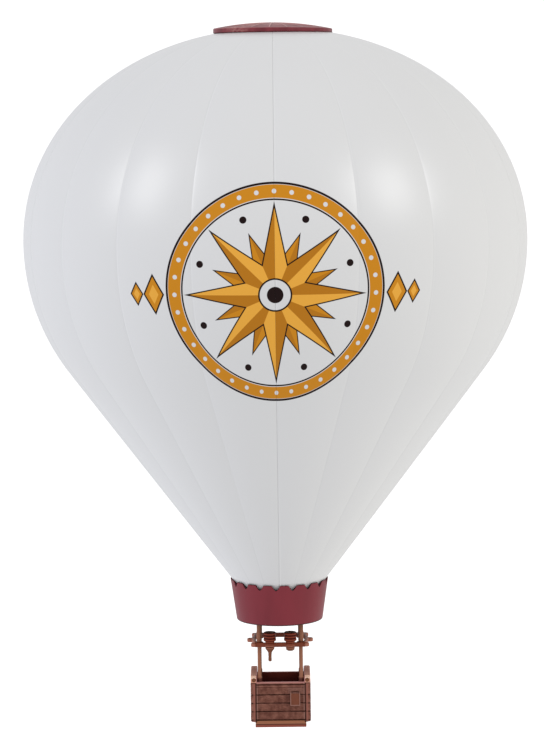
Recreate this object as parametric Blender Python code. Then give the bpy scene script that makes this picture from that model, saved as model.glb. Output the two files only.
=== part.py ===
"""A model hot air balloon, 1:87, moulded in plastic.

A two-half envelope of twenty gores hangs a notched skirt, four posts, a
burner frame with two burners, and a small basket. Metres, +Z up, the front
of the basket towards -Y. The origin is the top of the crown cap.
"""

import math

import bmesh
import bpy
from mathutils import Vector

MM = 0.001
TURN = 2 * math.pi

# Clearances between pieces that sit in or on each other
SEAM_GAP = 0.16 * MM
SEAT_GAP = 0.20 * MM
PLUG_GAP = 0.15 * MM
CUT_EXTRA = 1.0 * MM  # how far a cutter runs past what it cuts

# Envelope: a crown curve, a shoulder arc below the widest ring, then a cone
WALL = 1.3 * MM
GORES = 20
GORE_BULGE = 0.5 * MM
WIDEST_RADIUS = 72.8 * MM
WIDEST_Z = -63.0 * MM
CROWN_RISE = 61.7 * MM
CROWN_POWER = 2.04
SHOULDER_RADIUS = 62.1 * MM
CONE_ANGLE = math.radians(36.6)
NECK_Z = -166.9 * MM
COLUMNS_PER_GORE = 4
CROWN_STEPS = 9
SHOULDER_STEPS = 4
CONE_STEPS = 3

# Crown cap, sitting on a flat seat round the envelope's top hole
CAP_RADIUS = 17.25 * MM
CAP_DOME_RISE = 1.75 * MM
CAP_PANEL_DIP = 0.25 * MM
CAP_RIM_HEIGHT = 1.0 * MM
CAP_EDGE = 0.3 * MM
CAP_THICKNESS = 1.2 * MM
CROWN_HOLE_RADIUS = 12.0 * MM
PLUG_WALL = 1.1 * MM
PLUG_DEPTH = 2.6 * MM
COLUMNS_PER_PANEL = 3
DOME_STEPS = 6

# Skirt: a notched, tapering band with a ledge that carries the envelope's neck
SKIRT_TOP_Z = -162.8 * MM
SKIRT_BOTTOM_Z = -175.0 * MM
SKIRT_TOP_RADIUS = 14.43 * MM
SKIRT_BOTTOM_RADIUS = 12.69 * MM
SKIRT_WALL = 0.85 * MM
SKIRT_LIP = 0.33 * MM
NOTCHES = 18
NOTCH_DEPTH = 1.6 * MM
NOTCH_HALF_ANGLE = math.radians(4.6)
NOTCH_PHASE = math.radians(-4.0)
NOTCH_TO_FULL_WALL = 0.2 * MM
LEDGE_THICKNESS = 1.2 * MM
LEDGE_HOLE_RADIUS = 6.9 * MM

# Posts, from the skirt's ledge through the burner frame into the basket
POST_X = 6.13 * MM
POST_Y = 5.6 * MM
POST_RADIUS = 0.56 * MM
POST_TUCK = 0.9 * MM
SLEEVE_RADIUS = 0.72 * MM
SLEEVE_CHAMFER = 0.2 * MM

# Burner frame: a flat ring of six bars with an eyelet at each corner
FRAME_TOP_Z = -181.1 * MM
FRAME_HEIGHT = 1.05 * MM
FRAME_BAR = 1.05 * MM
FRAME_FRONT_Y = 7.0 * MM
FRAME_CORNER_X = 7.1 * MM
FRAME_SIDE_X = 8.0 * MM
EYELET_RADIUS = 0.95 * MM
EYELET_HOLE = 0.42 * MM
EYELETS = [  # x, y of the right-hand eyelets; the left-hand ones mirror them
    (7.65 * MM, -7.0 * MM),
    (8.8 * MM, 0.0 * MM),
    (7.55 * MM, 7.0 * MM),
]
POST_SOCKET_RADIUS = 1.25 * MM

# Burners, standing on the front bar
BURNER_X = 3.0 * MM
CAN_TOP_Z = -177.85 * MM
CAN_BOTTOM_Z = -180.45 * MM
CAN_RADIUS = 1.86 * MM
CAN_GROOVE = 0.22 * MM
CAN_RINGS = 3
RING_PROFILE = [  # share of the ring's height from its top, share of the groove's depth
    (0.0, 0.5),
    (0.2, 0.0),
    (0.7, 0.0),
    (0.85, 1.0),
]
CAN_MOUTH_RADIUS = 1.12 * MM
CAN_LIP_RADIUS = 1.4 * MM
CAN_MOUTH_DEPTH = 0.6 * MM
BODY_RADIUS = 1.33 * MM
SPIGOT_RADIUS = 0.6 * MM
HANDLE_SHOULDER = 0.4 * MM
HANDLE_CONE_Z = -183.7 * MM
HANDLE_BOTTOM_Z = -186.6 * MM
HANDLE_RADIUS = 0.46 * MM
HANDLE_TIP_RADIUS = 0.28 * MM
HANDLE_TIP_HEIGHT = 0.2 * MM
VALVE_BOTTOM_Z = -183.4 * MM
VALVE_FOOT = [  # radius, height above the valve's bottom
    (1.33 * MM, 0.5 * MM),
    (1.06 * MM, 0.1 * MM),
    (0.66 * MM, 0.0 * MM),
]

# Basket
BASE_HALF_X = 7.5 * MM
BASE_HALF_Y = 7.9 * MM
BASE_BOTTOM_Z = -206.2 * MM
BASE_EDGE_HEIGHT = 1.0 * MM
BASE_TOP_Z = -204.45 * MM
REBATE_Z = -205.0 * MM
REBATE_X = 7.1 * MM
PANEL_HALF_X = 7.1 * MM
PANEL_FACE_Y = 7.15 * MM
PANEL_THICKNESS = 0.8 * MM
PANEL_TOP_Z = -192.85 * MM
PANEL_RIM_HEIGHT = 1.3 * MM
PANEL_RIM_LIP = 0.18 * MM
PANEL_RIM_EDGE = 0.3 * MM
BAND_HEIGHT = 2.5 * MM
BAND_GROOVE = 0.16 * MM
BAND_GROOVE_SLOPE = 0.12 * MM
BAND_COUNT = 4
SIDE_INNER_X = 7.25 * MM
SIDE_OUTER_X = 8.75 * MM
SIDE_HALF_Y = 7.43 * MM
SIDE_BOTTOM_Z = -204.8 * MM
RAIL_TOP_Z = -191.35 * MM
RAIL_HEIGHT = 1.7 * MM
RAIL_BEVEL = 0.35 * MM
RAIL_INNER_X = 7.0 * MM
RAIL_HALF_Y = 7.53 * MM
POCKET_X = (2.8 * MM, 5.75 * MM)
POCKET_Z = (-200.1 * MM, -195.9 * MM)
POCKET_THICKNESS = 0.6 * MM
POCKET_SLOT = 0.3 * MM
POCKET_SLOT_DEPTH = 2.6 * MM

# Name, linear colour, roughness
MATERIALS = [
    ("envelope_white", (0.74, 0.74, 0.74), 0.38),
    ("crown_burgundy", (0.26, 0.052, 0.075), 0.42),
    ("skirt_burgundy", (0.21, 0.04, 0.052), 0.45),
    ("post_brown", (0.27, 0.105, 0.07), 0.5),
    ("burner_brown", (0.14, 0.035, 0.02), 0.5),
    ("basket_brown", (0.16, 0.062, 0.043), 0.65),
]


def clear_scene():
    for old in list(bpy.data.objects):
        bpy.data.objects.remove(old)


def make_materials():
    made = {}
    for name, colour, roughness in MATERIALS:
        material = bpy.data.materials.new(name)
        material.use_nodes = True
        surface = material.node_tree.nodes["Principled BSDF"]
        surface.inputs["Base Color"].default_value = (*colour, 1.0)
        surface.inputs["Roughness"].default_value = roughness
        surface.inputs["Metallic"].default_value = 0.0
        made[name] = material
    return made


def add_object(name, mesh_source, material, smooth_angle=40):
    """One sub-part; mesh_source is a bmesh, or a mesh that pieces share"""
    if isinstance(mesh_source, bmesh.types.BMesh):
        bmesh.ops.recalc_face_normals(mesh_source, faces=mesh_source.faces)
        mesh = bpy.data.meshes.new(name)
        mesh_source.to_mesh(mesh)
        mesh_source.free()
        mesh.shade_smooth()
        mesh.set_sharp_from_angle(angle=math.radians(smooth_angle))
        mesh.materials.append(material)
    else:
        mesh = mesh_source
    made = bpy.data.objects.new(name, mesh)
    bpy.context.scene.collection.objects.link(made)
    return made


def add_cutter(name, cutter_source):
    bmesh.ops.recalc_face_normals(cutter_source, faces=cutter_source.faces)
    mesh = bpy.data.meshes.new(name)
    cutter_source.to_mesh(mesh)
    cutter_source.free()
    made = bpy.data.objects.new(name, mesh)
    made.hide_render = True
    made.display_type = "WIRE"
    bpy.context.scene.collection.objects.link(made)
    return made


def boolean(target, tool, operation):
    step = target.modifiers.new(tool.name, "BOOLEAN")
    step.object = tool
    step.operation = operation


def swept_ring(profile_at, angles, closed):
    """Sweep a hollow section about Z

    profile_at(angle) gives the outer and the inner points, as (radius, z).
    Angle 0 looks to the front, -Y, and grows towards +X.
    """
    mesh = bmesh.new()
    columns = []
    for angle in angles:
        outer, inner = profile_at(angle)
        column = []
        for radius, z in list(outer) + list(reversed(inner)):
            point = (radius * math.sin(angle), -radius * math.cos(angle), z)
            column.append(mesh.verts.new(point))
        columns.append(column)
    count = len(columns[0])
    pairs = list(zip(columns, columns[1:]))
    if closed:
        pairs.append((columns[-1], columns[0]))
    for left, right in pairs:
        for i in range(count):
            j = (i + 1) % count
            mesh.faces.new((left[i], left[j], right[j], right[i]))
    if not closed:
        for column in (columns[0], columns[-1]):
            for i in range(count // 2 - 1):
                j = count - 1 - i
                mesh.faces.new((column[i], column[i + 1], column[j - 1], column[j]))
    return mesh


def turned(profile, segments, start=0.0):
    """A solid of revolution; the profile starts and ends on the axis"""
    mesh = bmesh.new()
    rings = []
    for radius, z in profile:
        if radius == 0:
            rings.append([mesh.verts.new((0, 0, z))])
            continue
        ring = []
        for step in range(segments):
            angle = start + TURN * step / segments
            point = (radius * math.cos(angle), radius * math.sin(angle), z)
            ring.append(mesh.verts.new(point))
        rings.append(ring)
    for upper, lower in zip(rings, rings[1:]):
        for i in range(segments):
            j = (i + 1) % segments
            corners = [upper[i % len(upper)], lower[i % len(lower)]]
            if len(lower) > 1:
                corners.append(lower[j])
            if len(upper) > 1:
                corners.append(upper[j])
            mesh.faces.new(corners)
    return mesh


def prism(outline, axis, start, end):
    """Extrude a closed outline, given in the two other axes, along one axis"""
    mesh = bmesh.new()
    ends = []
    for level in (start, end):
        ring = []
        for a, b in outline:
            point = {"x": (level, a, b), "y": (a, level, b), "z": (a, b, level)}[axis]
            ring.append(mesh.verts.new(point))
        ends.append(ring)
    count = len(outline)
    for i in range(count):
        j = (i + 1) % count
        mesh.faces.new((ends[0][i], ends[0][j], ends[1][j], ends[1][i]))
    mesh.faces.new(ends[0])
    mesh.faces.new(ends[1])
    return mesh


def block(x, y, z):
    """A box; each argument is its low and high value"""
    outline = [(x[0], y[0]), (x[1], y[0]), (x[1], y[1]), (x[0], y[1])]
    return prism(outline, "z", z[0], z[1])


def disc(x, y, radius, z, segments=20):
    outline = []
    for step in range(segments):
        angle = TURN * step / segments
        outline.append((x + radius * math.cos(angle), y + radius * math.sin(angle)))
    return prism(outline, "z", z[0], z[1])


def merge(target, addition):
    """Copy one bmesh's loose pieces into another"""
    lookup = {}
    for vert in addition.verts:
        lookup[vert] = target.verts.new(vert.co)
    for face in addition.faces:
        target.faces.new([lookup[vert] for vert in face.verts])
    addition.free()
    return target


def envelope_outline():
    """Radius and height down the envelope, along a seam"""
    points = [(CROWN_HOLE_RADIUS, crown_z(CAP_RADIUS))]
    first = math.acos((CAP_RADIUS / WIDEST_RADIUS) ** (CROWN_POWER / 2))
    for step in range(CROWN_STEPS + 1):
        angle = first * (1 - step / CROWN_STEPS)
        radius = WIDEST_RADIUS * math.cos(angle) ** (2 / CROWN_POWER)
        points.append((radius, crown_z(radius)))
    for step in range(1, SHOULDER_STEPS + 1):
        angle = CONE_ANGLE * step / SHOULDER_STEPS
        radius = WIDEST_RADIUS - SHOULDER_RADIUS * (1 - math.cos(angle))
        points.append((radius, WIDEST_Z - SHOULDER_RADIUS * math.sin(angle)))
    cone_radius, cone_z = points[-1]
    for step in range(1, CONE_STEPS + 1):
        z = cone_z + (NECK_Z - cone_z) * step / CONE_STEPS
        points.append((cone_radius - (cone_z - z) * math.tan(CONE_ANGLE), z))
    return points


def crown_z(radius):
    share = 1 - min(1.0, radius / WIDEST_RADIUS) ** CROWN_POWER
    return WIDEST_Z + CROWN_RISE * max(0.0, share) ** (1 / CROWN_POWER)


def inward(points, wall):
    """The same line of points, moved a wall's thickness to the inside"""
    moved = []
    for i, point in enumerate(points):
        before = Vector(points[max(i - 1, 0)])
        after = Vector(points[min(i + 1, len(points) - 1)])
        along = (after - before).normalized()
        normal = Vector((along.y, -along.x))
        moved.append(tuple(Vector(point) + normal * wall))
    return moved


def make_envelope(side, material):
    """One half shell; side is 1 for the right half and -1 for the left"""
    outline = envelope_outline()
    inside = inward(outline, WALL)

    def bulged(points, angle):
        swell = abs(math.sin(angle * GORES / 2)) * GORE_BULGE
        spread = []
        for radius, z in points:
            share = max(0.0, (radius - CAP_RADIUS) / (WIDEST_RADIUS - CAP_RADIUS))
            spread.append((radius + swell * share ** 0.5, z))
        return spread

    steps = GORES * COLUMNS_PER_GORE // 2
    angles = [math.pi * step / steps for step in range(steps + 1)]
    shell = swept_ring(lambda a: (bulged(outline, a), bulged(inside, a)), angles, False)
    for vert in shell.verts:
        vert.co.x = max(vert.co.x, SEAM_GAP / 2) * side
    name = "envelope_right" if side > 0 else "envelope_left"
    return add_object(name, shell, material)


def make_crown_cap(material):
    """A low dome of fan-shaped panels over a rim, with a plug for the envelope's hole"""
    rim_top = -CAP_DOME_RISE
    rim_bottom = rim_top - CAP_RIM_HEIGHT
    dome_radius = CAP_RADIUS - CAP_EDGE
    plug = CROWN_HOLE_RADIUS - SEAT_GAP
    plug_inner = plug - PLUG_WALL
    plug_bottom = rim_bottom - PLUG_DEPTH
    profile = [(0, 0)]
    for step in range(1, DOME_STEPS + 1):
        share = step / DOME_STEPS
        profile.append((dome_radius * share, -(CAP_DOME_RISE - CAP_EDGE / 2) * share ** 2))
    profile += [
        (CAP_RADIUS, rim_top - CAP_EDGE / 2),
        (CAP_RADIUS, rim_bottom + CAP_EDGE / 2),
        (CAP_RADIUS - CAP_EDGE, rim_bottom),
        (plug, rim_bottom),
        (plug, plug_bottom + CAP_EDGE),
        (plug - CAP_EDGE / 2, plug_bottom),
        (plug_inner, plug_bottom),
        (plug_inner, rim_bottom),
        (0, -CAP_THICKNESS),
    ]
    first_rib = NOTCH_PHASE - math.pi / 2
    cap = turned(profile, GORES * COLUMNS_PER_PANEL, first_rib)
    for vert in cap.verts:
        radius = vert.co.xy.length
        if vert.co.z > rim_top and 0 < radius < dome_radius:
            angle = math.atan2(vert.co.y, vert.co.x) - first_rib
            between_ribs = abs(math.sin(angle * GORES / 2))
            vert.co.z -= CAP_PANEL_DIP * between_ribs * math.sin(math.pi * radius / dome_radius)
    return add_object("crown_cap", cap, material, 20)


def skirt_radius(z):
    share = (SKIRT_TOP_Z - z) / (SKIRT_TOP_Z - SKIRT_BOTTOM_Z)
    return SKIRT_TOP_RADIUS + (SKIRT_BOTTOM_RADIUS - SKIRT_TOP_RADIUS) * share


def make_skirt(material):
    ledge_top = NECK_Z - SEAT_GAP
    ledge_bottom = ledge_top - LEDGE_THICKNESS
    notch_z = SKIRT_TOP_Z - NOTCH_DEPTH
    full_wall_z = notch_z - NOTCH_TO_FULL_WALL
    step = TURN / NOTCHES
    angles = []
    for notch in range(NOTCHES):
        start = NOTCH_PHASE + notch * step
        tooth = step - 2 * NOTCH_HALF_ANGLE
        angles += [start, start + NOTCH_HALF_ANGLE, start + NOTCH_HALF_ANGLE + tooth / 2]
        angles.append(start + NOTCH_HALF_ANGLE + tooth)

    def section(angle):
        turn = (angle - NOTCH_PHASE) / step
        at_notch = abs(turn - round(turn)) < 0.01
        top = notch_z if at_notch else SKIRT_TOP_Z
        lip_inner = skirt_radius(top) - (SKIRT_WALL if at_notch else SKIRT_LIP)
        outer = [
            (skirt_radius(top), top),
            (skirt_radius(full_wall_z), full_wall_z),
            (skirt_radius(ledge_top), ledge_top),
            (SKIRT_BOTTOM_RADIUS, SKIRT_BOTTOM_Z),
            (SKIRT_BOTTOM_RADIUS - SKIRT_WALL, SKIRT_BOTTOM_Z),
            (skirt_radius(ledge_bottom) - SKIRT_WALL, ledge_bottom),
        ]
        inner = [
            (lip_inner, top),
            (skirt_radius(full_wall_z) - SKIRT_WALL, full_wall_z),
            (skirt_radius(ledge_top) - SKIRT_WALL, ledge_top),
            (LEDGE_HOLE_RADIUS, ledge_top),
            (LEDGE_HOLE_RADIUS, ledge_bottom),
        ]
        return outer, inner

    skirt = add_object("skirt", swept_ring(section, angles, True), material, 30)
    holes = bmesh.new()
    for x in (-POST_X, POST_X):
        for y in (-POST_Y, POST_Y):
            span = (ledge_bottom - CUT_EXTRA, ledge_top + CUT_EXTRA)
            merge(holes, disc(x, y, SLEEVE_RADIUS + PLUG_GAP, span, 16))
    boolean(skirt, add_cutter("cut_post_holes", holes), "DIFFERENCE")
    return skirt


def make_posts(material):
    top = NECK_Z - SEAT_GAP - LEDGE_THICKNESS + POST_TUCK
    shoulder = FRAME_TOP_Z + PLUG_GAP
    foot = BASE_TOP_Z + SEAT_GAP
    profile = [
        (0, top),
        (SLEEVE_RADIUS, top),
        (SLEEVE_RADIUS, shoulder),
        (POST_RADIUS, shoulder),
        (POST_RADIUS, RAIL_TOP_Z),
        (SLEEVE_RADIUS, RAIL_TOP_Z - SLEEVE_CHAMFER),
        (SLEEVE_RADIUS, foot),
        (0, foot),
    ]
    shared = None
    for depth, y in (("front", -POST_Y), ("back", POST_Y)):
        for side, x in (("left", -POST_X), ("right", POST_X)):
            source = shared or turned(profile, 16)
            post = add_object(f"post_{depth}_{side}", source, material)
            post.location = (x, y, 0)
            shared = post.data


def bar_outline(start, end, width):
    a = Vector(start)
    b = Vector(end)
    along = (b - a).normalized() * width / 2
    across = Vector((-along.y, along.x))
    a = a - along
    b = b + along
    return [a - across, b - across, b + across, a + across]


def make_burner_frame(material):
    bottom = FRAME_TOP_Z - FRAME_HEIGHT
    span = (bottom, FRAME_TOP_Z)
    corners = [
        (-FRAME_CORNER_X, -FRAME_FRONT_Y),
        (FRAME_CORNER_X, -FRAME_FRONT_Y),
        (FRAME_SIDE_X, 0),
        (FRAME_CORNER_X, FRAME_FRONT_Y),
        (-FRAME_CORNER_X, FRAME_FRONT_Y),
        (-FRAME_SIDE_X, 0),
    ]
    start = bar_outline(corners[0], corners[1], FRAME_BAR)
    frame = add_object("burner_frame", prism(start, "z", *span), material)
    for i in range(1, len(corners)):
        outline = bar_outline(corners[i], corners[(i + 1) % len(corners)], FRAME_BAR)
        name = f"join_bar_{i}"
        boolean(frame, add_cutter(name, prism(outline, "z", *span)), "UNION")
    rings = []
    for side in (-1, 1):
        for x, y in EYELETS:
            rings.append((side * x, y, EYELET_RADIUS, EYELET_HOLE))
        rings.append((side * BURNER_X, -FRAME_FRONT_Y, BODY_RADIUS, SPIGOT_RADIUS + PLUG_GAP))
        for y in (-POST_Y, POST_Y):
            rings.append((side * POST_X, y, POST_SOCKET_RADIUS, POST_RADIUS + PLUG_GAP))
    holes = bmesh.new()
    for i, (x, y, radius, hole) in enumerate(rings):
        ring = add_cutter(f"join_ring_{i}", disc(x, y, radius, span, 16))
        boolean(frame, ring, "UNION")
        merge(holes, disc(x, y, hole, (bottom - CUT_EXTRA, FRAME_TOP_Z + CUT_EXTRA), 12))
    boolean(frame, add_cutter("cut_frame_holes", holes), "DIFFERENCE")
    return frame


def make_burners(material):
    """A ringed can above the bar, and a handle or a valve below it"""
    seat = FRAME_TOP_Z + PLUG_GAP
    middle = FRAME_TOP_Z - FRAME_HEIGHT / 2
    bottom = FRAME_TOP_Z - FRAME_HEIGHT - PLUG_GAP
    ring_height = (CAN_TOP_Z - CAN_BOTTOM_Z) / CAN_RINGS
    can = [
        (0, CAN_TOP_Z - CAN_MOUTH_DEPTH),
        (CAN_MOUTH_RADIUS, CAN_TOP_Z - CAN_MOUTH_DEPTH),
        (CAN_LIP_RADIUS, CAN_TOP_Z),
    ]
    for ring in range(CAN_RINGS):
        for down, groove in RING_PROFILE:
            z = CAN_TOP_Z - (ring + down) * ring_height
            can.append((CAN_RADIUS - CAN_GROOVE * groove, z))
    can += [
        (BODY_RADIUS, CAN_BOTTOM_Z),
        (BODY_RADIUS, seat),
        (SPIGOT_RADIUS, seat),
        (SPIGOT_RADIUS, middle + PLUG_GAP / 2),
        (0, middle + PLUG_GAP / 2),
    ]
    plug = [
        (0, middle - PLUG_GAP / 2),
        (SPIGOT_RADIUS, middle - PLUG_GAP / 2),
        (SPIGOT_RADIUS, bottom),
        (BODY_RADIUS, bottom),
    ]
    handle = plug + [
        (BODY_RADIUS, bottom - HANDLE_SHOULDER),
        (HANDLE_RADIUS, HANDLE_CONE_Z),
        (HANDLE_RADIUS, HANDLE_BOTTOM_Z + HANDLE_TIP_HEIGHT),
        (HANDLE_TIP_RADIUS, HANDLE_BOTTOM_Z),
        (0, HANDLE_BOTTOM_Z),
    ]
    valve = plug + [(radius, VALVE_BOTTOM_Z + height) for radius, height in VALVE_FOOT]
    valve.append((0, VALVE_BOTTOM_Z))
    first = add_object("burner_left", turned(can, 24), material)
    pieces = [
        (first, -BURNER_X),
        (add_object("burner_right", first.data, material), BURNER_X),
        (add_object("burner_handle", turned(handle, 16), material), -BURNER_X),
        (add_object("burner_valve", turned(valve, 16), material), BURNER_X),
    ]
    for piece, x in pieces:
        piece.location = (x, -FRAME_FRONT_Y, 0)


def banded_face(face, bottom):
    """Face positions down a wall: a groove between each two bands"""
    first = PANEL_TOP_Z - PANEL_RIM_HEIGHT
    ease = BAND_GROOVE_SLOPE
    points = []
    for band in range(BAND_COUNT):
        high = first - band * BAND_HEIGHT
        low = high - BAND_HEIGHT if band < BAND_COUNT - 1 else bottom
        points += [(face - BAND_GROOVE, high), (face, high - ease), (face, low + ease)]
    points.append((face - BAND_GROOVE, bottom))
    return points


def make_base(material):
    edge_z = BASE_BOTTOM_Z + BASE_EDGE_HEIGHT
    outline = [
        (-BASE_HALF_Y, BASE_BOTTOM_Z),
        (BASE_HALF_Y, BASE_BOTTOM_Z),
        (BASE_HALF_Y, edge_z),
        (PANEL_FACE_Y, BASE_TOP_Z),
        (-PANEL_FACE_Y, BASE_TOP_Z),
        (-BASE_HALF_Y, edge_z),
    ]
    base = add_object("basket_floor", prism(outline, "x", -BASE_HALF_X, BASE_HALF_X), material)
    rebates = bmesh.new()
    reach = SIDE_HALF_Y + SEAT_GAP
    outside = BASE_HALF_X + CUT_EXTRA
    for low, high in ((-outside, -REBATE_X), (REBATE_X, outside)):
        merge(rebates, block((low, high), (-reach, reach), (REBATE_Z, BASE_TOP_Z + CUT_EXTRA)))
    boolean(base, add_cutter("cut_wall_rebates", rebates), "DIFFERENCE")
    return base


def make_basket(material):
    make_base(material)
    panel_bottom = BASE_TOP_Z + SEAT_GAP
    inner = PANEL_FACE_Y - PANEL_THICKNESS
    lip = PANEL_FACE_Y + PANEL_RIM_LIP
    for name, side in (("basket_front", -1), ("basket_back", 1)):
        outline = [
            (inner, PANEL_TOP_Z),
            (PANEL_FACE_Y, PANEL_TOP_Z),
            (lip, PANEL_TOP_Z - PANEL_RIM_EDGE),
            (lip, PANEL_TOP_Z - PANEL_RIM_HEIGHT + PANEL_RIM_EDGE),
        ]
        outline += banded_face(PANEL_FACE_Y, panel_bottom) + [(inner, panel_bottom)]
        outline = [(side * y, z) for y, z in outline]
        add_object(name, prism(outline, "x", -PANEL_HALF_X, PANEL_HALF_X), material, 30)
    rail_bottom = RAIL_TOP_Z - RAIL_HEIGHT
    wall_top = rail_bottom - PLUG_GAP
    for name, side in (("left", -1), ("right", 1)):
        outline = [(SIDE_INNER_X, wall_top), (SIDE_OUTER_X - BAND_GROOVE, wall_top)]
        outline += banded_face(SIDE_OUTER_X, SIDE_BOTTOM_Z)
        outline.append((SIDE_INNER_X, SIDE_BOTTOM_Z))
        outline = [(side * x, z) for x, z in outline]
        wall = prism(outline, "y", -SIDE_HALF_Y, SIDE_HALF_Y)
        add_object(f"basket_{name}", wall, material, 30)
        span = sorted((side * RAIL_INNER_X, side * SIDE_OUTER_X))
        beam = block(span, (-RAIL_HALF_Y, RAIL_HALF_Y), (rail_bottom, RAIL_TOP_Z))
        rail = add_object(f"rail_{name}", beam, material)
        bevel = rail.modifiers.new("rounding", "BEVEL")
        bevel.width = RAIL_BEVEL
        bevel.segments = 3
    make_pocket(material)


def make_pocket(material):
    back = -PANEL_FACE_Y - PLUG_GAP
    front = back - POCKET_THICKNESS
    body = block(POCKET_X, (front, back), POCKET_Z)
    pocket = add_object("pocket", body, material)
    wall = (POCKET_THICKNESS - POCKET_SLOT) / 2
    slot = block(
        (POCKET_X[0] + wall * 2, POCKET_X[1] - wall * 2),
        (front + wall, back - wall),
        (POCKET_Z[1] - POCKET_SLOT_DEPTH, POCKET_Z[1] + CUT_EXTRA),
    )
    boolean(pocket, add_cutter("cut_pocket", slot), "DIFFERENCE")


def main():
    clear_scene()
    finish = make_materials()
    for side in (-1, 1):
        make_envelope(side, finish["envelope_white"])
    make_crown_cap(finish["crown_burgundy"])
    make_skirt(finish["skirt_burgundy"])
    make_posts(finish["post_brown"])
    make_burner_frame(finish["post_brown"])
    make_burners(finish["burner_brown"])
    make_basket(finish["basket_brown"])


main()
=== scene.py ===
"""The finish of a 1:87 model hot air balloon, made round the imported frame.

Metres, +Z up, the basket's front towards -Y. The origin is the top of the
crown cap, and the balloon hangs from it over a pale floor.
"""

import math

import bmesh
import bpy
from mathutils import Matrix, Vector


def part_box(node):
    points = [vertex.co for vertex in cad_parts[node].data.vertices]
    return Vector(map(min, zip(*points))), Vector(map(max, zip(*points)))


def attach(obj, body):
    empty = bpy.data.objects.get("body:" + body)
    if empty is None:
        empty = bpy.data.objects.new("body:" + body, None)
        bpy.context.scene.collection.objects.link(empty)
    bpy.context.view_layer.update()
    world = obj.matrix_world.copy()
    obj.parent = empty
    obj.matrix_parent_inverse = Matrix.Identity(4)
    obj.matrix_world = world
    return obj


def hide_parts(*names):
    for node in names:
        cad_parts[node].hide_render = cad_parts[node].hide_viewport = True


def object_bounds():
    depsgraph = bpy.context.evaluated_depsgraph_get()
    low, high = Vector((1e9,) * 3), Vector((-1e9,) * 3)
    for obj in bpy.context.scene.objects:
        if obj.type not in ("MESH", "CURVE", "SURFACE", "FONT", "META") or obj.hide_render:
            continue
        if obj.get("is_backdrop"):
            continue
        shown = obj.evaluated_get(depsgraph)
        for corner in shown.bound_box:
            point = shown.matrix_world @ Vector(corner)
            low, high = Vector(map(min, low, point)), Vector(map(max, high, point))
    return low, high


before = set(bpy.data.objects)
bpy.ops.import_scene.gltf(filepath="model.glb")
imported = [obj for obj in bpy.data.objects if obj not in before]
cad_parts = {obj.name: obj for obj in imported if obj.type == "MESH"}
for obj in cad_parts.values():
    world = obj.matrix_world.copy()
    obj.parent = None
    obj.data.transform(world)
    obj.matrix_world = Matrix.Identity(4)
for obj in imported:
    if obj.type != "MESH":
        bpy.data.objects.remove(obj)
cad_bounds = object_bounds()

MM = 0.001
TURN = 2 * math.pi
ROOT = "root"

# Envelope: the frame's solids, with a crown up to 0.2 mm lower round the cap
WALL = 1.3 * MM
GORES = 20
GORE_BULGE = 0.5 * MM
WIDEST_RADIUS = 72.8 * MM
WIDEST_Z = -63.0 * MM
CROWN_RISE = 61.45 * MM
CROWN_POWER = 2.05
CROWN_HOLE_RADIUS = 12.0 * MM
SHOULDER_RADIUS = 62.1 * MM
CONE_ANGLE = math.radians(36.6)
NECK_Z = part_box("envelope_left")[0][2]
COLUMNS_PER_GORE = 16
COLUMN_CROWDING = 0.86
PROFILE_ROWS = 130

# Seams between the gores, and the parting line between the halves, with painted highlights and
# painted shade along them
SEAM_GAP = 0.03 * MM
SEAM_STEP = 0.03 * MM
SEAM_LIT_FROM = -110 * MM
PARTING_LIT_BELOW = -125 * MM
SEAM_FADE = 40 * MM
# Each painted line along a seam (highlights beside it, shade in its crease): its place beside the
# seam, half its width, its shade
SEAM_HIGHLIGHT = (0.36 * MM, 0.2 * MM, 1.06)
SEAM_CREASE_SHADE = (-0.02 * MM, 0.17 * MM, 0.93)
PARTING_HIGHLIGHT = (0.33 * MM, 0.26 * MM, 1.09)

# Crown cap
CAP_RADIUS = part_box("crown_cap")[1][0]
CAP_RIM_TOP = -1.75 * MM
CAP_PHASE = math.radians(-3.3)
CAP_TILT = math.radians(0.6)
CAP_COLUMNS_PER_PANEL = 8
# Where a reflection of the left soft box is painted on the cap's rim, round from the panels' phase
CAP_REFLECTION_ANGLE = math.radians(-33.23)

# Print on the envelope's front, in millimetres: a compass rose between diamonds
PRINT_Z = -73.5
PRINT_WRAP_RADIUS = 72.0
PRINT_EDGE = 0.07
ROSE_EYE = 2.2
# Each round line: from the middle, half its width
ROSE_RIM = (29.6, 0.3)
ROSE_BAND = (27.45, 1.75)
ROSE_INNER_LINE = (25.3, 0.22)
ROSE_HUB = (4.3, 0.22)
# Each star: from the middle to a tip, to a valley, half its outline's width
STAR_POINTS = 8
BIG_STAR = (24.0, 8.6, 0.17)
SMALL_STAR = (17.4, 7.4, 0.14)
# Each ring of dots: how many, from the middle, radius of a dot
BEADS = (36, ROSE_BAND[0], 0.62)
PIPS = (8, 21.6, 0.95)
DIAMONDS = [
    # from the middle, half width, half height, edge of the pale core, half the line's width
    (33.6, 2.9, 5.2, 1.15, 0.2),
    (38.9, 1.9, 3.0, 0.75, 0.18),
]

# Skirt
SKIRT_LOW, SKIRT_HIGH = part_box("skirt")
SKIRT_FOOT_RADIUS = 12.69 * MM
NOTCHES = 18
NOTCH_PHASE = math.radians(-4.0)
NOTCH_HALF = math.radians(5.0)
NOTCH_DEPTH = 1.6 * MM

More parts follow.
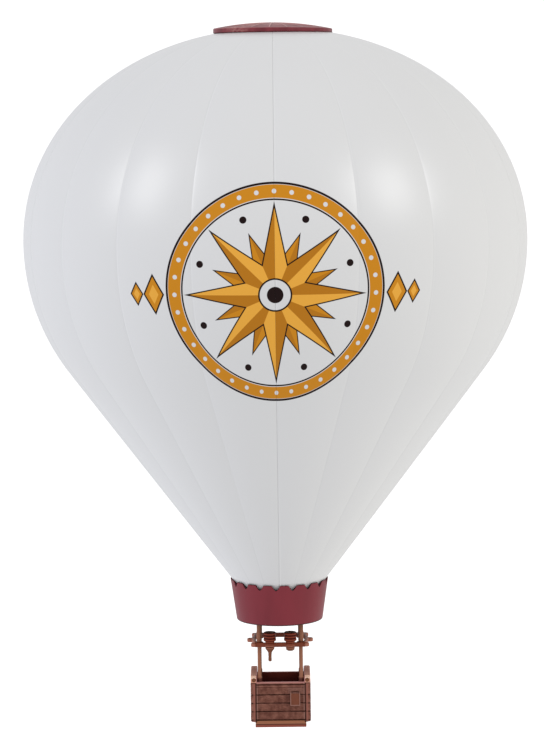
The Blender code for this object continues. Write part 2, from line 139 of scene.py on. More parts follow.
# Posts, and the frame and burners between them
POSTS = ("front_left", "front_right", "back_left", "back_right")
FRAME_FOOT_Z, FRAME_TOP_Z = (corner[2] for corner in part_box("burner_frame"))
FRAME_FRONT = 7.0 * MM
SHOULDER_Z = FRAME_TOP_Z + 0.15 * MM
BURNER_LOW, BURNER_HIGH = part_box("burner_right")
BURNER_X = (BURNER_LOW[0] + BURNER_HIGH[0]) / 2
BURNER_Y = (BURNER_LOW[1] + BURNER_HIGH[1]) / 2
BODY_RADIUS = 1.33 * MM
SPIGOT_RADIUS = 0.6 * MM
CAN_RADIUS = (BURNER_HIGH[0] - BURNER_LOW[0]) / 2
CAN_MOUTH_RADIUS = CAN_RADIUS * 0.74
CAN_TOP_Z = BURNER_HIGH[2]
CAN_FOOT_Z = -180.45 * MM
CAN_RINGS = 3
CAN_PITCH = (CAN_TOP_Z - CAN_FOOT_Z) / CAN_RINGS

# Basket: places of its bands, borders, rails and pocket
BASKET_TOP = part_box("basket_front")[1][2]
BASKET_FACE = 7.15 * MM
RIM_LIP = 0.18 * MM
RIM_INNER = 6.5 * MM
RIM_JOINT = BASKET_TOP - 0.77 * MM
STRIP_FOOT = BASKET_TOP - 1.65 * MM
FIRST_JOINT = BASKET_TOP - 3.8 * MM
BAND_PITCH = 2.5 * MM
JOINT_GAP = 0.07 * MM
WEAVE_PITCH = 0.29 * MM
BORDER_INNER = 6.66 * MM
WALL_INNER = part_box("basket_right")[0][0] - 0.02 * MM
STRIP_INNER = WALL_INNER + 0.27 * MM
PILLOW_INNER = WALL_INNER + 0.88 * MM
END_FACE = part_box("basket_right")[1][1] - 0.1 * MM
GLOOM_DEPTH = 3.2 * MM
FINE_WEAVE_LEFT, FINE_WEAVE_RIGHT = 2.14 * MM, 6.6 * MM
FINE_WEAVE_FOOT = BASKET_TOP - 3.3 * MM
RAIL_LOW, RAIL_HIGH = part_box("rail_right")
RAIL_INNER = RAIL_LOW[0] - 0.05 * MM
RAIL_FOOT = RAIL_LOW[2] + 0.1 * MM
RAIL_TOP = RAIL_HIGH[2]
NOSE_START = RAIL_HIGH[1] - 1.3 * MM
PEG_RADIUS = 0.56 * MM
POCKET_LOW, POCKET_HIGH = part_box("pocket")
POCKET_MIDDLE = (POCKET_LOW[0] + POCKET_HIGH[0]) / 2
POCKET_REACH = (POCKET_HIGH[0] - POCKET_LOW[0]) / 2
POUCH_EDGE = 0.29 * MM
POUCH_LIFT = 0.25 * MM
SLOT_Z = POCKET_HIGH[2] + 0.16 * MM
BASE_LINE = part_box("basket_floor")[0][2] + 0.88 * MM

# Finish: edges of painted areas, height of the grain, and how flow marks are drawn out
MASK_EDGE = 0.08 * MM
GRAIN = 0.012 * MM
FLOW = (1, 1, 0.25)
FLOW_CONTRAST = (1 / 6, 5 / 6)

# Light: a white tent, and soft boxes 1 m from the lit point
TENT_STRENGTH = 0.965
TENT_TOP_DIM = 0.12
TENT_BACK_DIM = 0.13
TENT_FRONT_DIM = 0.205
TENT_SIDE_LIFT = 0.17
TENT_LEFT_TINT = (0.947, 0.967, 1.027)
TENT_RIGHT_TINT = (1.0, 0.988, 0.95)
LIT_POINT = (0, 0, -0.06)
SOFTBOXES = [
    # name, degrees right of the camera's side, degrees up, width, height, power
    ("softbox_left", -64, 29.5, 0.36, 0.45, 1.4),
    ("softbox_right", 56, 28, 0.42, 0.4, 1.5),
]

# Stage
FLOOR_Z = -0.262
STAGE_FRONT = 2.2
STAGE_SIDE = 2.0
STAGE_BACK = 1.9
STAGE_BEND = 0.5
STAGE_TOP = 1.6

# Camera: its place, then in degrees how far it is swung round, tipped up from
# looking straight down, and leant; its sensor and lens in millimetres
CAMERA_PLACE = (-1.44 * MM, -760.1 * MM, -19.9 * MM)
CAMERA_SWING = 0.27
CAMERA_TIP = 90 - 6.21
CAMERA_LEAN = -0.70
SENSOR_WIDTH = 36.0
FOCAL_LENGTH = 125.04

# Colours, linear
WHITE = (0.678, 0.678, 0.681)
AMBER = (0.59, 0.232, 0.008)
AMBER_LIGHT = (0.80, 0.39, 0.05)
AMBER_DARK = (0.46, 0.172, 0.006)
INK = (0.008, 0.0, 0.0)
CROWN = (0.18, 0.032, 0.042)
CROWN_SHEEN = (0.47, 0.21, 0.195)
CROWN_RIB_HIGHLIGHT = (0.58, 0.36, 0.34)
SKIRT = (0.205, 0.0235, 0.035)
BURGUNDY_SHADE = (0.055, 0.006, 0.009)
POST = (0.295, 0.12, 0.067)
POST_FOOT_SHADE = (0.09, 0.02, 0.013)
FRAME = (0.18, 0.038, 0.015)
FRAME_HIGHLIGHT = (0.37, 0.14, 0.09)
BURNER = (0.14, 0.013, 0.003)
BURNER_HIGHLIGHT = (0.21, 0.045, 0.02)
BURNER_GROOVE_SHADE = (0.02, 0.002, 0.001)
BURNER_MOUTH_LIT = (0.17, 0.095, 0.052)
BURNER_FOOT = (0.185, 0.066, 0.034)
BASKET = (0.145, 0.048, 0.032)
BASKET_LIGHT = (0.28, 0.115, 0.08)
BASKET_PINK = (0.27, 0.13, 0.10)
BASKET_STRIP = (0.27, 0.095, 0.068)
BASKET_RIM_HIGHLIGHT = (0.43, 0.19, 0.17)
BASKET_JOINT_AND_SHADE = (0.05, 0.012, 0.006)
RAIL = (0.48, 0.235, 0.175)
RAIL_FRONT = (0.66, 0.38, 0.29)
NOSE = (0.60, 0.28, 0.19)
NOSE_TOP_HIGHLIGHT = (0.80, 0.53, 0.40)
PEG = (0.17, 0.06, 0.024)
INSIDE_SHADE = (0.11, 0.013, 0.005)
INSIDE_DEEP_SHADE = (0.036, 0.001, 0.0005)
POUCH = (0.17, 0.05, 0.025)
BASE_SLOPE_LIGHT = (0.36, 0.145, 0.069)
BASE_RED = (0.24, 0.043, 0.02)
FLOOR_WHITE = (0.88, 0.88, 0.88)


class Wire:
    """One socket's value; sums on it become Math nodes"""

    def __init__(self, graph, socket):
        self.graph = graph
        self.socket = socket

    def __add__(self, other):
        return self.graph.math("ADD", self, other)

    def __sub__(self, other):
        return self.graph.math("SUBTRACT", self, other)

    def __rsub__(self, other):
        return self.graph.math("SUBTRACT", other, self)

    def __mul__(self, other):
        return self.graph.math("MULTIPLY", self, other)

    def __truediv__(self, other):
        return self.graph.math("DIVIDE", self, other)

    def __rtruediv__(self, other):
        return self.graph.math("DIVIDE", other, self)

    def __pow__(self, other):
        return self.graph.math("POWER", self, other)

    def __neg__(self):
        return self.graph.math("MULTIPLY", self, -1)

    __radd__ = __add__
    __rmul__ = __mul__


class Graph:
    """A node tree, of a material or of geometry, filled in by calls"""

    def __init__(self, tree):
        self.tree = tree

    def node(self, kind, settings=None, values=None):
        made = self.tree.nodes.new(kind)
        for key, value in (settings or {}).items():
            setattr(made, key, value)
        for key, value in (values or {}).items():
            if isinstance(value, Wire):
                self.tree.links.new(value.socket, made.inputs[key])
            else:
                made.inputs[key].default_value = value
        return made

    def wire(self, kind, settings=None, values=None, output=0):
        return Wire(self, self.node(kind, settings, values).outputs[output])

    def math(self, operation, *values):
        return self.wire("ShaderNodeMath", {"operation": operation}, dict(enumerate(values)))

    def mix(self, factor, first, second):
        """Blend two colours"""
        values = {0: factor, 6: opaque(first), 7: opaque(second)}
        return self.wire("ShaderNodeMix", {"data_type": "RGBA"}, values, 2)

    def split(self, vector):
        parts = self.node("ShaderNodeSeparateXYZ", values={0: vector})
        return [Wire(self, socket) for socket in parts.outputs]

    def join(self, x, y, z):
        return self.wire("ShaderNodeCombineXYZ", values={0: x, 1: y, 2: z})

    def most(self, *values):
        highest = values[0]
        for value in values[1:]:
            highest = self.math("MAXIMUM", highest, value)
        return highest

    def absolute(self, value):
        return self.math("ABSOLUTE", value)

    def length(self, a, b):
        return self.math("SQRT", a * a + b * b)

    def nearest(self, value, pitch):
        """The signed distance from the nearest multiple of a pitch"""
        return self.math("WRAP", value, pitch / 2, pitch / -2)

    def clamp(self, value):
        return self.wire("ShaderNodeClamp", values={0: value})

    def ramp(self, value, start, end):
        """0 at the start and before it, 1 at the end and past it"""
        return self.clamp((value - start) / (end - start))


def opaque(colour):
    return colour if isinstance(colour, Wire) else (*colour, 1.0)


class GeometryTree(Graph):
    """A geometry tree with named inputs"""

    def __init__(self, name, **inputs):
        super().__init__(bpy.data.node_groups.new(name, "GeometryNodeTree"))
        sockets = self.tree.interface
        sockets.new_socket("Geometry", in_out="OUTPUT", socket_type="NodeSocketGeometry")
        for title, kind in {"Geometry": "Geometry", **inputs, "Material": "Material"}.items():
            sockets.new_socket(title, in_out="INPUT", socket_type=f"NodeSocket{kind}")
        source = self.tree.nodes.new("NodeGroupInput")
        self.inputs = {socket.name: Wire(self, socket) for socket in source.outputs}

    def __getitem__(self, title):
        return self.inputs[title]

    def step(self, kind, **values):
        """One geometry node; its inputs are keywords, with _ for each space"""
        titled = {title.replace("_", " "): value for title, value in values.items()}
        return self.wire(f"GeometryNode{kind}", values=titled)

    def instanced(self, points, shape, **choice):
        return self.step("InstanceOnPoints", Points=points, Instance=shape, **choice)

    def finish(self, *layers):
        """Put the layers together, realize what was instanced and give all the material"""
        together = self.node("GeometryNodeJoinGeometry")
        for layer in layers:
            self.tree.links.new(layer.socket, together.inputs[0])
        real = self.step("RealizeInstances", Geometry=Wire(self, together.outputs[0]))
        dressed = self.step("SetMaterial", Geometry=real, Material=self["Material"])
        self.node("NodeGroupOutput", values={0: dressed})

    def grow(self, name, host_mesh, material, **values):
        """Run the tree on a mesh and keep the result as a plain piece"""
        host = bpy.data.objects.new(f"{name}_host", host_mesh)
        bpy.context.scene.collection.objects.link(host)
        step = host.modifiers.new("grow", "NODES")
        step.node_group = self.tree
        values["Material"] = material
        for item in self.tree.interface.items_tree:
            if item.in_out == "INPUT" and item.name in values:
                step[item.identifier] = values[item.name]
        mesh = evaluated_mesh(host, name)
        bpy.data.objects.remove(host)
        return place(name, mesh, material)


def add_modifier(target, kind, settings):
    step = target.modifiers.new(kind.lower(), kind)
    for key, value in settings.items():
        setattr(step, key, value)


def evaluated_mesh(source, name):
    depsgraph = bpy.context.evaluated_depsgraph_get()
    mesh = bpy.data.meshes.new_from_object(source.evaluated_get(depsgraph), depsgraph=depsgraph)
    mesh.name = name
    return mesh


def place(name, mesh, material):
    if not mesh.materials:
        mesh.materials.append(material)
    piece = bpy.data.objects.new(name, mesh)
    bpy.context.scene.collection.objects.link(piece)
    return piece


def settle(piece):
    """Keep what a piece's modifiers make of it as its plain mesh"""
    mesh = evaluated_mesh(piece, piece.data.name)
    piece.modifiers.clear()
    piece.data = mesh


def finish_piece(piece, node, smooth=32):
    """Shade a piece, let it ride on the one body and stand for its solid"""
    piece.data.shade_smooth()
    piece.data.set_sharp_from_angle(angle=math.radians(smooth))
    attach(piece, ROOT)
    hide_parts(node)


# Materials


def scaled(colour, factor):
    return tuple(channel * factor for channel in colour)


class Surface(Graph):
    """A Principled material under construction, patterned by place on the model"""

    def __init__(self, name, roughness, **fixed):
        self.material = bpy.data.materials.new(name)
        self.material.use_nodes = True
        super().__init__(self.material.node_tree)
        self.shader = self.tree.nodes["Principled BSDF"]
        self.roughness = roughness
        self.set("Roughness", roughness)
        for title, value in fixed.items():
            self.set(title.replace("_", " "), value)
        self.place = self.wire("ShaderNodeTexCoord", output="Object")
        self.x, self.y, self.z = self.split(self.place)

    def set(self, title, value):
        socket = self.shader.inputs[title]
        if isinstance(value, Wire):
            self.tree.links.new(value.socket, socket)
        elif isinstance(value, tuple):
            socket.default_value = opaque(value)
        else:
            socket.default_value = value

    def azimuth(self):
        """The angle round the model from its front, growing to the right"""
        return self.math("ARCTAN2", self.x, -self.y)

    def noise(self, scale, detail=2.0, stretch=(1, 1, 1), between=None):
        """Noise with features about 1/scale metres across, from 0 to 1

        What lies between two values can be spread over the whole of 0 to 1.
        """
        spot = self.wire("ShaderNodeMapping", values={0: self.place, "Scale": stretch})
        values = {"Vector": spot, "Scale": scale, "Detail": detail}
        noise = self.wire("ShaderNodeTexNoise", values=values)
        return self.ramp(noise, *between) if between else noise

    def below(self, value, limit, edge=MASK_EDGE):
        """1 below a limit and 0 above it, with a soft edge"""
        return self.clamp(0.5 - (value - limit) / edge)

    def above(self, value, limit, edge=MASK_EDGE):
        return self.clamp(0.5 + (value - limit) / edge)

    def near(self, value, middle, reach, edge=MASK_EDGE):
        return self.below(self.absolute(value - middle), reach, edge)

    def mottled(self, tone, colour, dark, light):
        """A colour between two factors of itself"""
        return self.mix(tone, scaled(colour, dark), scaled(colour, light))

    def paint(self, colour, *coats):
        """Colour the surface, then lay coats over it, each a mask and a colour"""
        for mask, coat in coats:
            colour = self.mix(mask, colour, coat)
        self.set("Base Color", colour)

    def bump(self, height, distance=GRAIN):
        values = {"Height": height, "Distance": distance, "Strength": 1.0}
        self.set("Normal", self.wire("ShaderNodeBump", values=values))

    def speckle(self, fine=0.6):
        """Uneven gloss and a fine grain, as a spark-eroded mould leaves them"""
        speck = self.noise(2600)
        self.set("Roughness", self.roughness - 0.06 + 0.12 * speck)
        self.bump(speck + fine * self.noise(7000, 1.0))


def make_moulded(name, colour, second, where):
    """Brown plastic with flow marks, and a second colour where the function says: painted shade at
    the posts' feet, a painted highlight at the frame's ends and seats
    """
    surface = Surface(name, 0.45, Specular_IOR_Level=0.22)
    flow = surface.noise(260, 3.0, FLOW, FLOW_CONTRAST)
    surface.paint(surface.mottled(flow, colour, 0.86, 1.16), (where(surface), second))
    surface.speckle()
    return surface.material


# Painted shade on the posts' feet, down in the basket
def post_feet_in_shade(surface):
    return surface.below(surface.z, BASKET_TOP + 1.1 * MM, 0.7 * MM)


def frame_highlight_places(surface):
    """Where a highlight is painted: the frame's ends, and the foot of its front bar under the
    burners
    """
    across = surface.absolute(surface.x)
    ends = surface.above(across, 7.4 * MM, 0.5 * MM)
    seats = surface.near(across, BURNER_X, 1.3 * MM, 0.3 * MM)
    seats = seats * surface.below(surface.z, FRAME_FOOT_Z + 0.3 * MM, 0.4 * MM)
    return surface.most(ends, seats * surface.math("LESS_THAN", surface.y, 0))


def print_masks(surface):
    """Where the print's amber, light, dark, bare and ink areas lie, from 0 to 1

    The print wraps round the envelope: u is the way round and v the way up,
    in millimetres from the middle of the rose.
    """
    u = surface.azimuth() * PRINT_WRAP_RADIUS
    v = surface.z * (1 / MM) - PRINT_Z
    radius = surface.length(u, v)
    angle = surface.math("ARCTAN2", u, v)
    half_point = math.pi / STAR_POINTS

    def inside(distance):
        return surface.below(distance, 0, PRINT_EDGE)

    def line(distance, half_width):
        return surface.near(distance, 0, half_width, PRINT_EDGE)

    def circle(middle, half_width):
        return line(radius - middle, half_width)

    def spoke(count, turn):
        """The way along and across the nearest of so many equal spokes, and its angle"""
        off = surface.nearest(angle + turn, TURN / count)
        return radius * surface.math("COSINE", off), radius * surface.math("SINE", off), off

    def star(tip, valley, half_line, turn):
        """A star's area, the half of each point that is lit, and its outline"""
        to_valley = Vector((valley * math.cos(half_point) - tip, valley * math.sin(half_point)))
        edge = to_valley.normalized()
        along, across, off = spoke(STAR_POINTS, turn)
        outside = (along - tip) * edge.y - surface.absolute(across) * edge.x
        return inside(outside), surface.math("GREATER_THAN", off, 0), line(outside, half_line)

    def dots(count, ring, size, turn):
        along, across, _ = spoke(count, turn)
        return inside(surface.length(along - ring, across) - size)

    on_big, big_lit, big_line = star(*BIG_STAR, 0)
    on_small, small_lit, small_line = star(*SMALL_STAR, half_point)
    beside_big = 1 - on_big
    on_small = on_small * beside_big
    lit_big = on_big * big_lit
    amber = [circle(*ROSE_BAND), on_big, on_small]
    light = [lit_big]
    ink = [circle(*ROSE_RIM), circle(*ROSE_INNER_LINE), circle(*ROSE_HUB)]
    ink += [big_line, small_line * beside_big, dots(*PIPS, half_point), inside(radius - ROSE_EYE)]
    for middle, half_width, half_height, core, half_line in DIAMONDS:
        across = surface.absolute(surface.absolute(u) - middle)
        reach = across / half_width + surface.absolute(v) / half_height
        outside = (reach - 1) * (half_width * 0.8)
        amber.append(inside(outside))
        light.append(inside(outside + core))
        ink.append(line(outside, half_line))
    return {
        "amber": surface.most(*amber),
        "light": surface.most(*light),
        "dark": surface.most(on_small * small_lit, on_big * (1 - lit_big)),
        "bare": surface.most(dots(*BEADS, 0), inside(radius - ROSE_HUB[0])),
        "ink": surface.most(*ink),
    }


def make_envelope_white():
    """Satin white plastic with a printed compass rose, whose inks take its gloss away, and painted
    highlights and shade along its seams
    """
    gloss = {"Specular_IOR_Level": 0.15, "Coat_Roughness": 0.36, "Coat_IOR": 1.85}
    surface = Surface("envelope_white", 0.4, **gloss)
    x, y, z = surface.x, surface.y, surface.z
    aside = surface.nearest(surface.azimuth(), TURN / GORES) * surface.length(x, y)
    shown = surface.noise(45, 1.0, between=(0.2273, 0.6818))
    lit = surface.ramp(z, SEAM_LIT_FROM, SEAM_LIT_FROM + SEAM_FADE)
    low = surface.ramp(z, PARTING_LIT_BELOW, PARTING_LIT_BELOW - SEAM_FADE)
    front = surface.math("LESS_THAN", y, 0)
    body = surface.mottled(surface.noise(24), WHITE, 0.985, 1.01)
    # Painted highlights beside the upper seams and low on the parting line, and painted shade in
    # every seam's crease
    for across, (middle, half_width, shade), amount in (
        (aside, SEAM_HIGHLIGHT, shown * lit),
        (aside, SEAM_CREASE_SHADE, shown),
        (x, PARTING_HIGHLIGHT, low * front),
    ):
        off = (across - middle) / half_width
        body = surface.mix(surface.clamp(1 - off * off) * amount, body, scaled(WHITE, shade))
    masks = print_masks(surface)
    surface.paint(
        body,
        (masks["amber"], AMBER),
        (masks["dark"], AMBER_DARK),
        (masks["light"], AMBER_LIGHT),
        (masks["bare"], body),
        (masks["ink"], INK),
    )
    inked = surface.most(masks["amber"], masks["ink"])
    surface.set("Roughness", surface.roughness + 0.06 * surface.noise(60) - 0.04 * inked)
    surface.set("Coat Weight", 1 - inked)
    surface.bump(surface.noise(1400, 1.0) + 0.5 * surface.noise(320), 0.004 * MM)
    return surface.material


def make_crown_burgundy():
    """Burgundy plastic with a painted sheen on the dome, painted highlights on its ribs and the
    rim's top edge, a painted reflection on the rim's left front, painted shade in the flutes and
    under the rim
    """
    surface = Surface("crown_burgundy", 0.42, Specular_IOR_Level=0.16)
    z = surface.z
    azimuth = surface.azimuth()
    turn = surface.nearest(azimuth - CAP_PHASE, TURN / GORES)
    off_rib = turn * surface.length(surface.x, surface.y)
    patch = surface.noise(420, 3.0, between=(0.25, 0.75))
    # Painted sheen, stronger towards the top of the dome
    dome_sheen = surface.ramp(z, CAP_RIM_TOP, 0) ** 1.4
    on_dome = surface.ramp(z, CAP_RIM_TOP, CAP_RIM_TOP + 0.1 * MM)
    # Painted highlights along the dome's ribs
    rib = surface.ramp(surface.absolute(off_rib), 0.196 * MM, 0.056 * MM) * on_dome
    # Painted shade in the flute beside each rib
    hollow = surface.absolute(off_rib - 0.42 * MM)
    hollow = surface.ramp(hollow, 0.264 * MM, 0.044 * MM) * on_dome
    # Painted highlight along the rim's top edge
    lip = surface.ramp(surface.absolute(z - CAP_RIM_TOP), 0.13 * MM, 0)
    # Painted shadow under the rim's foot
    foot = surface.below(z, crown_z(CAP_RADIUS) + 0.24 * MM, 0.12 * MM)
    # Painted reflection of the left soft box on the rim's left front, broken up by noise
    painted_reflection = surface.ramp(surface.absolute(azimuth - CAP_PHASE - CAP_REFLECTION_ANGLE), 0.286, 0.066)
    painted_reflection = painted_reflection * surface.noise(900, 2.0, (1, 1, 2), (0.35, 0.6833))
    surface.paint(
        surface.mottled(patch, CROWN, 0.75, 1.35),
        (painted_reflection * 0.75, CROWN_SHEEN),
        (dome_sheen * (patch * 0.8 + 0.35), CROWN_SHEEN),
        (hollow * 0.45, BURGUNDY_SHADE),
        (surface.most(rib * 0.8, lip * 0.4), CROWN_RIB_HIGHLIGHT),
        (foot * 0.8, BURGUNDY_SHADE),
    )
    surface.speckle()
    return surface.material


def make_skirt_burgundy():
    """Burgundy plastic, with painted shade on the cut faces of the notches and at both edges"""
    surface = Surface("skirt_burgundy", 0.45, Specular_IOR_Level=0.25)
    z = surface.z
    depth = skirt_radius(z) - surface.length(surface.x, surface.y)
    cut_face = surface.ramp(depth, 0.1 * MM, 0.2 * MM)
    foot = surface.below(z, SKIRT_LOW[2] + 0.32 * MM, 0.15 * MM)
    crest = surface.above(z, SKIRT_HIGH[2] - 0.1 * MM, 0.1 * MM) * 0.7
    flow = surface.noise(170, 3.0, FLOW, FLOW_CONTRAST)
    # Painted shade on the notches' cut faces, along the foot and along the crest
    dark = surface.most(cut_face, foot, crest)
    surface.paint(surface.mottled(flow, SKIRT, 0.88, 1.15), (dark, BURGUNDY_SHADE))
    surface.speckle()
    return surface.material


def make_burner_brown():
    """Dark brown plastic, with painted highlights on the cans' rings and necks, painted shade
    between the rings and painted light in the mouths

    Below the frame, on the handle and the valve, it is paler, with a painted highlight at the top
    of the flange.
    """
    surface = Surface("burner_brown", 0.42, Specular_IOR_Level=0.14)
    z = surface.z
    off_gap = surface.absolute(surface.nearest(z - CAN_TOP_Z, CAN_PITCH))
    on_can = surface.above(z, CAN_FOOT_Z)
    # Painted shade in the grooves between the cans' rings
    gap = surface.below(off_gap, 0.13 * MM) * on_can
    # Painted highlights on the crests of the cans' rings and on the neck below them
    crest = surface.above(off_gap, CAN_PITCH * 0.36) * on_can
    neck = surface.below(z, CAN_FOOT_Z) * surface.above(z, CAN_TOP_Z - 5.1 * MM)
    below_lip = 1 - surface.above(z, CAN_TOP_Z - 0.2 * MM)
    off_axis = surface.length(surface.absolute(surface.x) - BURNER_X, surface.y - BURNER_Y)
    # Painted light in each can's mouth, which lies in shade
    mouth = surface.below(off_axis, CAN_MOUTH_RADIUS) * surface.above(z, CAN_TOP_Z - 0.6 * MM)
    # Painted highlight on the top of each flange, just under the frame
    seat = surface.above(z, FRAME_FOOT_Z - 0.4 * MM, 0.2 * MM) * (1 - on_can)
    seat = seat * surface.math("LESS_THAN", z, FRAME_FOOT_Z)
    flow = surface.noise(500, 3.0, between=(0.1875, 0.8125))
    surface.paint(
        surface.mottled(flow, BURNER, 0.8, 1.3),
        (surface.most(neck, crest) * below_lip, BURNER_HIGHLIGHT),
        (surface.below(z, FRAME_FOOT_Z), BURNER_FOOT),
        (seat * 0.7, FRAME_HIGHLIGHT),
        (mouth, BURNER_MOUTH_LIT),
        (gap * (1 - mouth), BURNER_GROOVE_SHADE),
    )
    surface.speckle(fine=0)
    return surface.material


def make_wicker():
    """Moulded wicker: dark joints between its bands, pale edges, painted highlights on the rim and
    the noses, painted shade in the cracks, under the rim, at the slot, round the pegs and inside
    """
    surface = Surface("basket_wicker", 0.55, Specular_IOR_Level=0.2)
    above, below, near = surface.above, surface.below, surface.near
    x, y, z = surface.x, surface.y, surface.z
    across = surface.absolute(x)
    depth = surface.absolute(y)
    patch = surface.noise(750, 3.0)
    fibre = surface.noise(5200, 2.0, (0.25, 0.25, 1))
    tone = surface.clamp(patch * 3.0 + fibre * 0.6 - 1.32)
    below_strip = below(z, STRIP_FOOT)
    between_walls = below(across, WALL_INNER)

    middle = (FINE_WEAVE_LEFT + FINE_WEAVE_RIGHT) / 2
    fine = near(x, middle, FINE_WEAVE_RIGHT - middle) * below_strip * above(z, FINE_WEAVE_FOOT)
    strip = above(depth, END_FACE) * above(across, WALL_INNER) * below(across, PILLOW_INNER)
    # Painted shade in the crack between each side strip and the front
    crack_shade = strip * below(across, STRIP_INNER) * below(z, RAIL_FOOT)
    border = above(across, BORDER_INNER) * between_walls * above(depth, RIM_INNER)

    on_rail = above(z, RAIL_FOOT) * above(across, RAIL_INNER)
    rail = surface.mix(surface.clamp(-y / (7 * MM) - 0.1), RAIL, RAIL_FRONT)
    nose = on_rail * above(depth, NOSE_START) * below(z, RAIL_TOP - 0.15 * MM)
    # Painted highlight on the top of each rail's nose
    nose_top_highlight = above(-y, NOSE_START - 0.3 * MM) * above(z, RAIL_TOP - 0.4 * MM) * on_rail
    off_x = across - (RAIL_INNER + RAIL_HIGH[0]) / 2
    off_peg = surface.length(off_x, z - (RAIL_FOOT + RAIL_TOP) / 2)

    off_joint = surface.nearest(z - FIRST_JOINT, BAND_PITCH)
    width = (surface.noise(430, 1.0) * 0.3 + 0.02) * MM
    joints = near(off_joint, 0, width) * below_strip * (1 - strip * 0.65)
    # Painted shadow under the rim
    rim_shadow = near(z, RIM_JOINT, 0.15 * MM) * between_walls
    # Painted shadow along the slot above the pocket
    slot = near(x, POCKET_MIDDLE, POCKET_REACH * 0.76) * near(z, SLOT_Z, 0.12 * MM)
    # Painted highlight along the top edge of the rims
    lit_rim = above(z, BASKET_TOP - 0.3 * MM) * between_walls
    # Painted shade inside the basket, darker towards the bottom
    inside = below(across, WALL_INNER + 0.1 * MM) * below(depth, RIM_INNER) * below(z, BASKET_TOP)
    down = surface.ramp(z, BASKET_TOP - GLOOM_DEPTH, BASKET_TOP)
    surface.paint(
        surface.mix(tone, BASKET, BASKET_LIGHT),
        (fine * below(y, 0) * 0.5, BASKET_PINK),
        (strip, BASKET_STRIP),
        (crack_shade, BASKET_JOINT_AND_SHADE),
        (border * 0.7, BASKET_PINK),
        (on_rail * 0.8, rail),
        (nose, NOSE),
        (nose_top_highlight, NOSE_TOP_HIGHLIGHT),
        (nose * below(off_peg, PEG_RADIUS), PEG),
        # Painted shade round the edge of each peg
        (nose * near(off_peg, PEG_RADIUS, 0.05 * MM), BASKET_JOINT_AND_SHADE),
        (surface.most(joints, rim_shadow, slot * below(y, 0)), BASKET_JOINT_AND_SHADE),
        (lit_rim, BASKET_RIM_HIGHLIGHT),
        (inside, surface.mix(down, INSIDE_DEEP_SHADE, INSIDE_SHADE)),
    )
    surface.set("Roughness", surface.roughness - 0.05 + 0.2 * fibre)
    surface.bump(fibre)
    return surface.material


def make_pouch_brown():
    """The pocket's plastic: a redder panel within paler edges"""
    surface = Surface("pouch_brown", 0.5, Specular_IOR_Level=0.2)
    foot = POCKET_LOW[2] + POUCH_LIFT
    middle_z, reach_z = (POCKET_HIGH[2] + foot) / 2, (POCKET_HIGH[2] - foot) / 2
    off_side = surface.absolute(surface.x - POCKET_MIDDLE) - (POCKET_REACH - POUCH_EDGE)
    off_end = surface.absolute(surface.z - middle_z) - (reach_z - POUCH_EDGE)
    edge = surface.above(surface.most(off_side, off_end), 0)
    mottle = surface.noise(1100, 3.0)
    surface.paint(surface.mottled(mottle, POUCH, 0.8, 1.25), (edge, BASKET_PINK))
    surface.set("Roughness", surface.roughness - 0.02 + 0.15 * mottle)
    surface.bump(surface.noise(4200))
    return surface.material


def make_base_brown():
    """The base's plastic: painted light on the upward slope, redder below, a line of painted shade
    between
    """
    surface = Surface("base_brown", 0.5, Specular_IOR_Level=0.25)
    flow = surface.noise(420, 3.0, (1, 1, 0.4))
    surface.paint(
        surface.mix(surface.above(surface.z, BASE_LINE), BASE_RED, BASE_SLOPE_LIGHT),
        (flow * 0.5, BASKET_STRIP),
        (surface.near(surface.z, BASE_LINE, 0.12 * MM), BASKET_JOINT_AND_SHADE),
    )
    surface.bump(surface.noise(2600))
    return surface.material


# Shapes


def filleted(points, radius, steps=3):
    """Round the inner corners of an open outline of 2D points"""
    rounded = [points[0]]
    for before, corner, after in zip(points, points[1:], points[2:]):
        here = Vector(corner)
        back = Vector(before) - here
        on = Vector(after) - here
        reach = min(radius, back.length * 0.45, on.length * 0.45)
        start = here + back.normalized() * reach
        end = here + on.normalized() * reach
        for step in range(steps + 1):
            t = step / steps
            rounded.append(tuple(start * (1 - t) ** 2 + here * 2 * t * (1 - t) + end * t ** 2))
    rounded.append(points[-1])
    return rounded


def rounded_loop(points, radius):
    """Round every corner of a closed outline"""
    return filleted([points[-1], *points, points[0]], radius)[1:-1]


def round_point(radius, angle, z, centre):
    return centre[0] + radius * math.cos(angle), centre[1] + radius * math.sin(angle), z


def front_point(radius, angle, z):
    """A point at an angle from the model's front"""
    return radius * math.sin(angle), -radius * math.cos(angle), z


def add_verts(mesh, points):
    return [mesh.verts.new(point) for point in points]


def turned(profile, segments, centre=(0, 0)):
    """A solid of revolution; its outline runs from axis to axis, top first"""
    mesh = bmesh.new()
    rings = []
    for radius, z in profile:
        count = segments if radius > 0 else 1
        points = [round_point(radius, TURN * i / count, z, centre) for i in range(count)]
        rings.append(add_verts(mesh, points))
    bridge_all(mesh, rings)
    return mesh


def bridge_all(mesh, rings):
    """Join each ring to the next; a ring of one point closes the end"""
    for upper, lower in zip(rings, rings[1:]):
        count = max(len(upper), len(lower))
        for i in range(count):
            j = (i + 1) % count
            corners = [upper[i % len(upper)], lower[i % len(lower)]]
            if len(lower) > 1:
                corners.append(lower[j])
            if len(upper) > 1:
                corners.append(upper[j])
            mesh.faces.new(corners)


def turned_ring(section, segments, centre=(0, 0)):
    """A closed section turned into a ring"""
    mesh = bmesh.new()
    columns = []
    for step in range(segments):
        angle = TURN * step / segments
        points = [round_point(radius, angle, z, centre) for radius, z in section]
        columns.append(add_verts(mesh, points))
    close_round(mesh, columns)
    return mesh


def close_round(mesh, columns):
    """Join each closed column to the next, and the last to the first"""
    for left, right in zip(columns, columns[1:] + columns[:1]):
        bridge_strip(mesh, left, right)


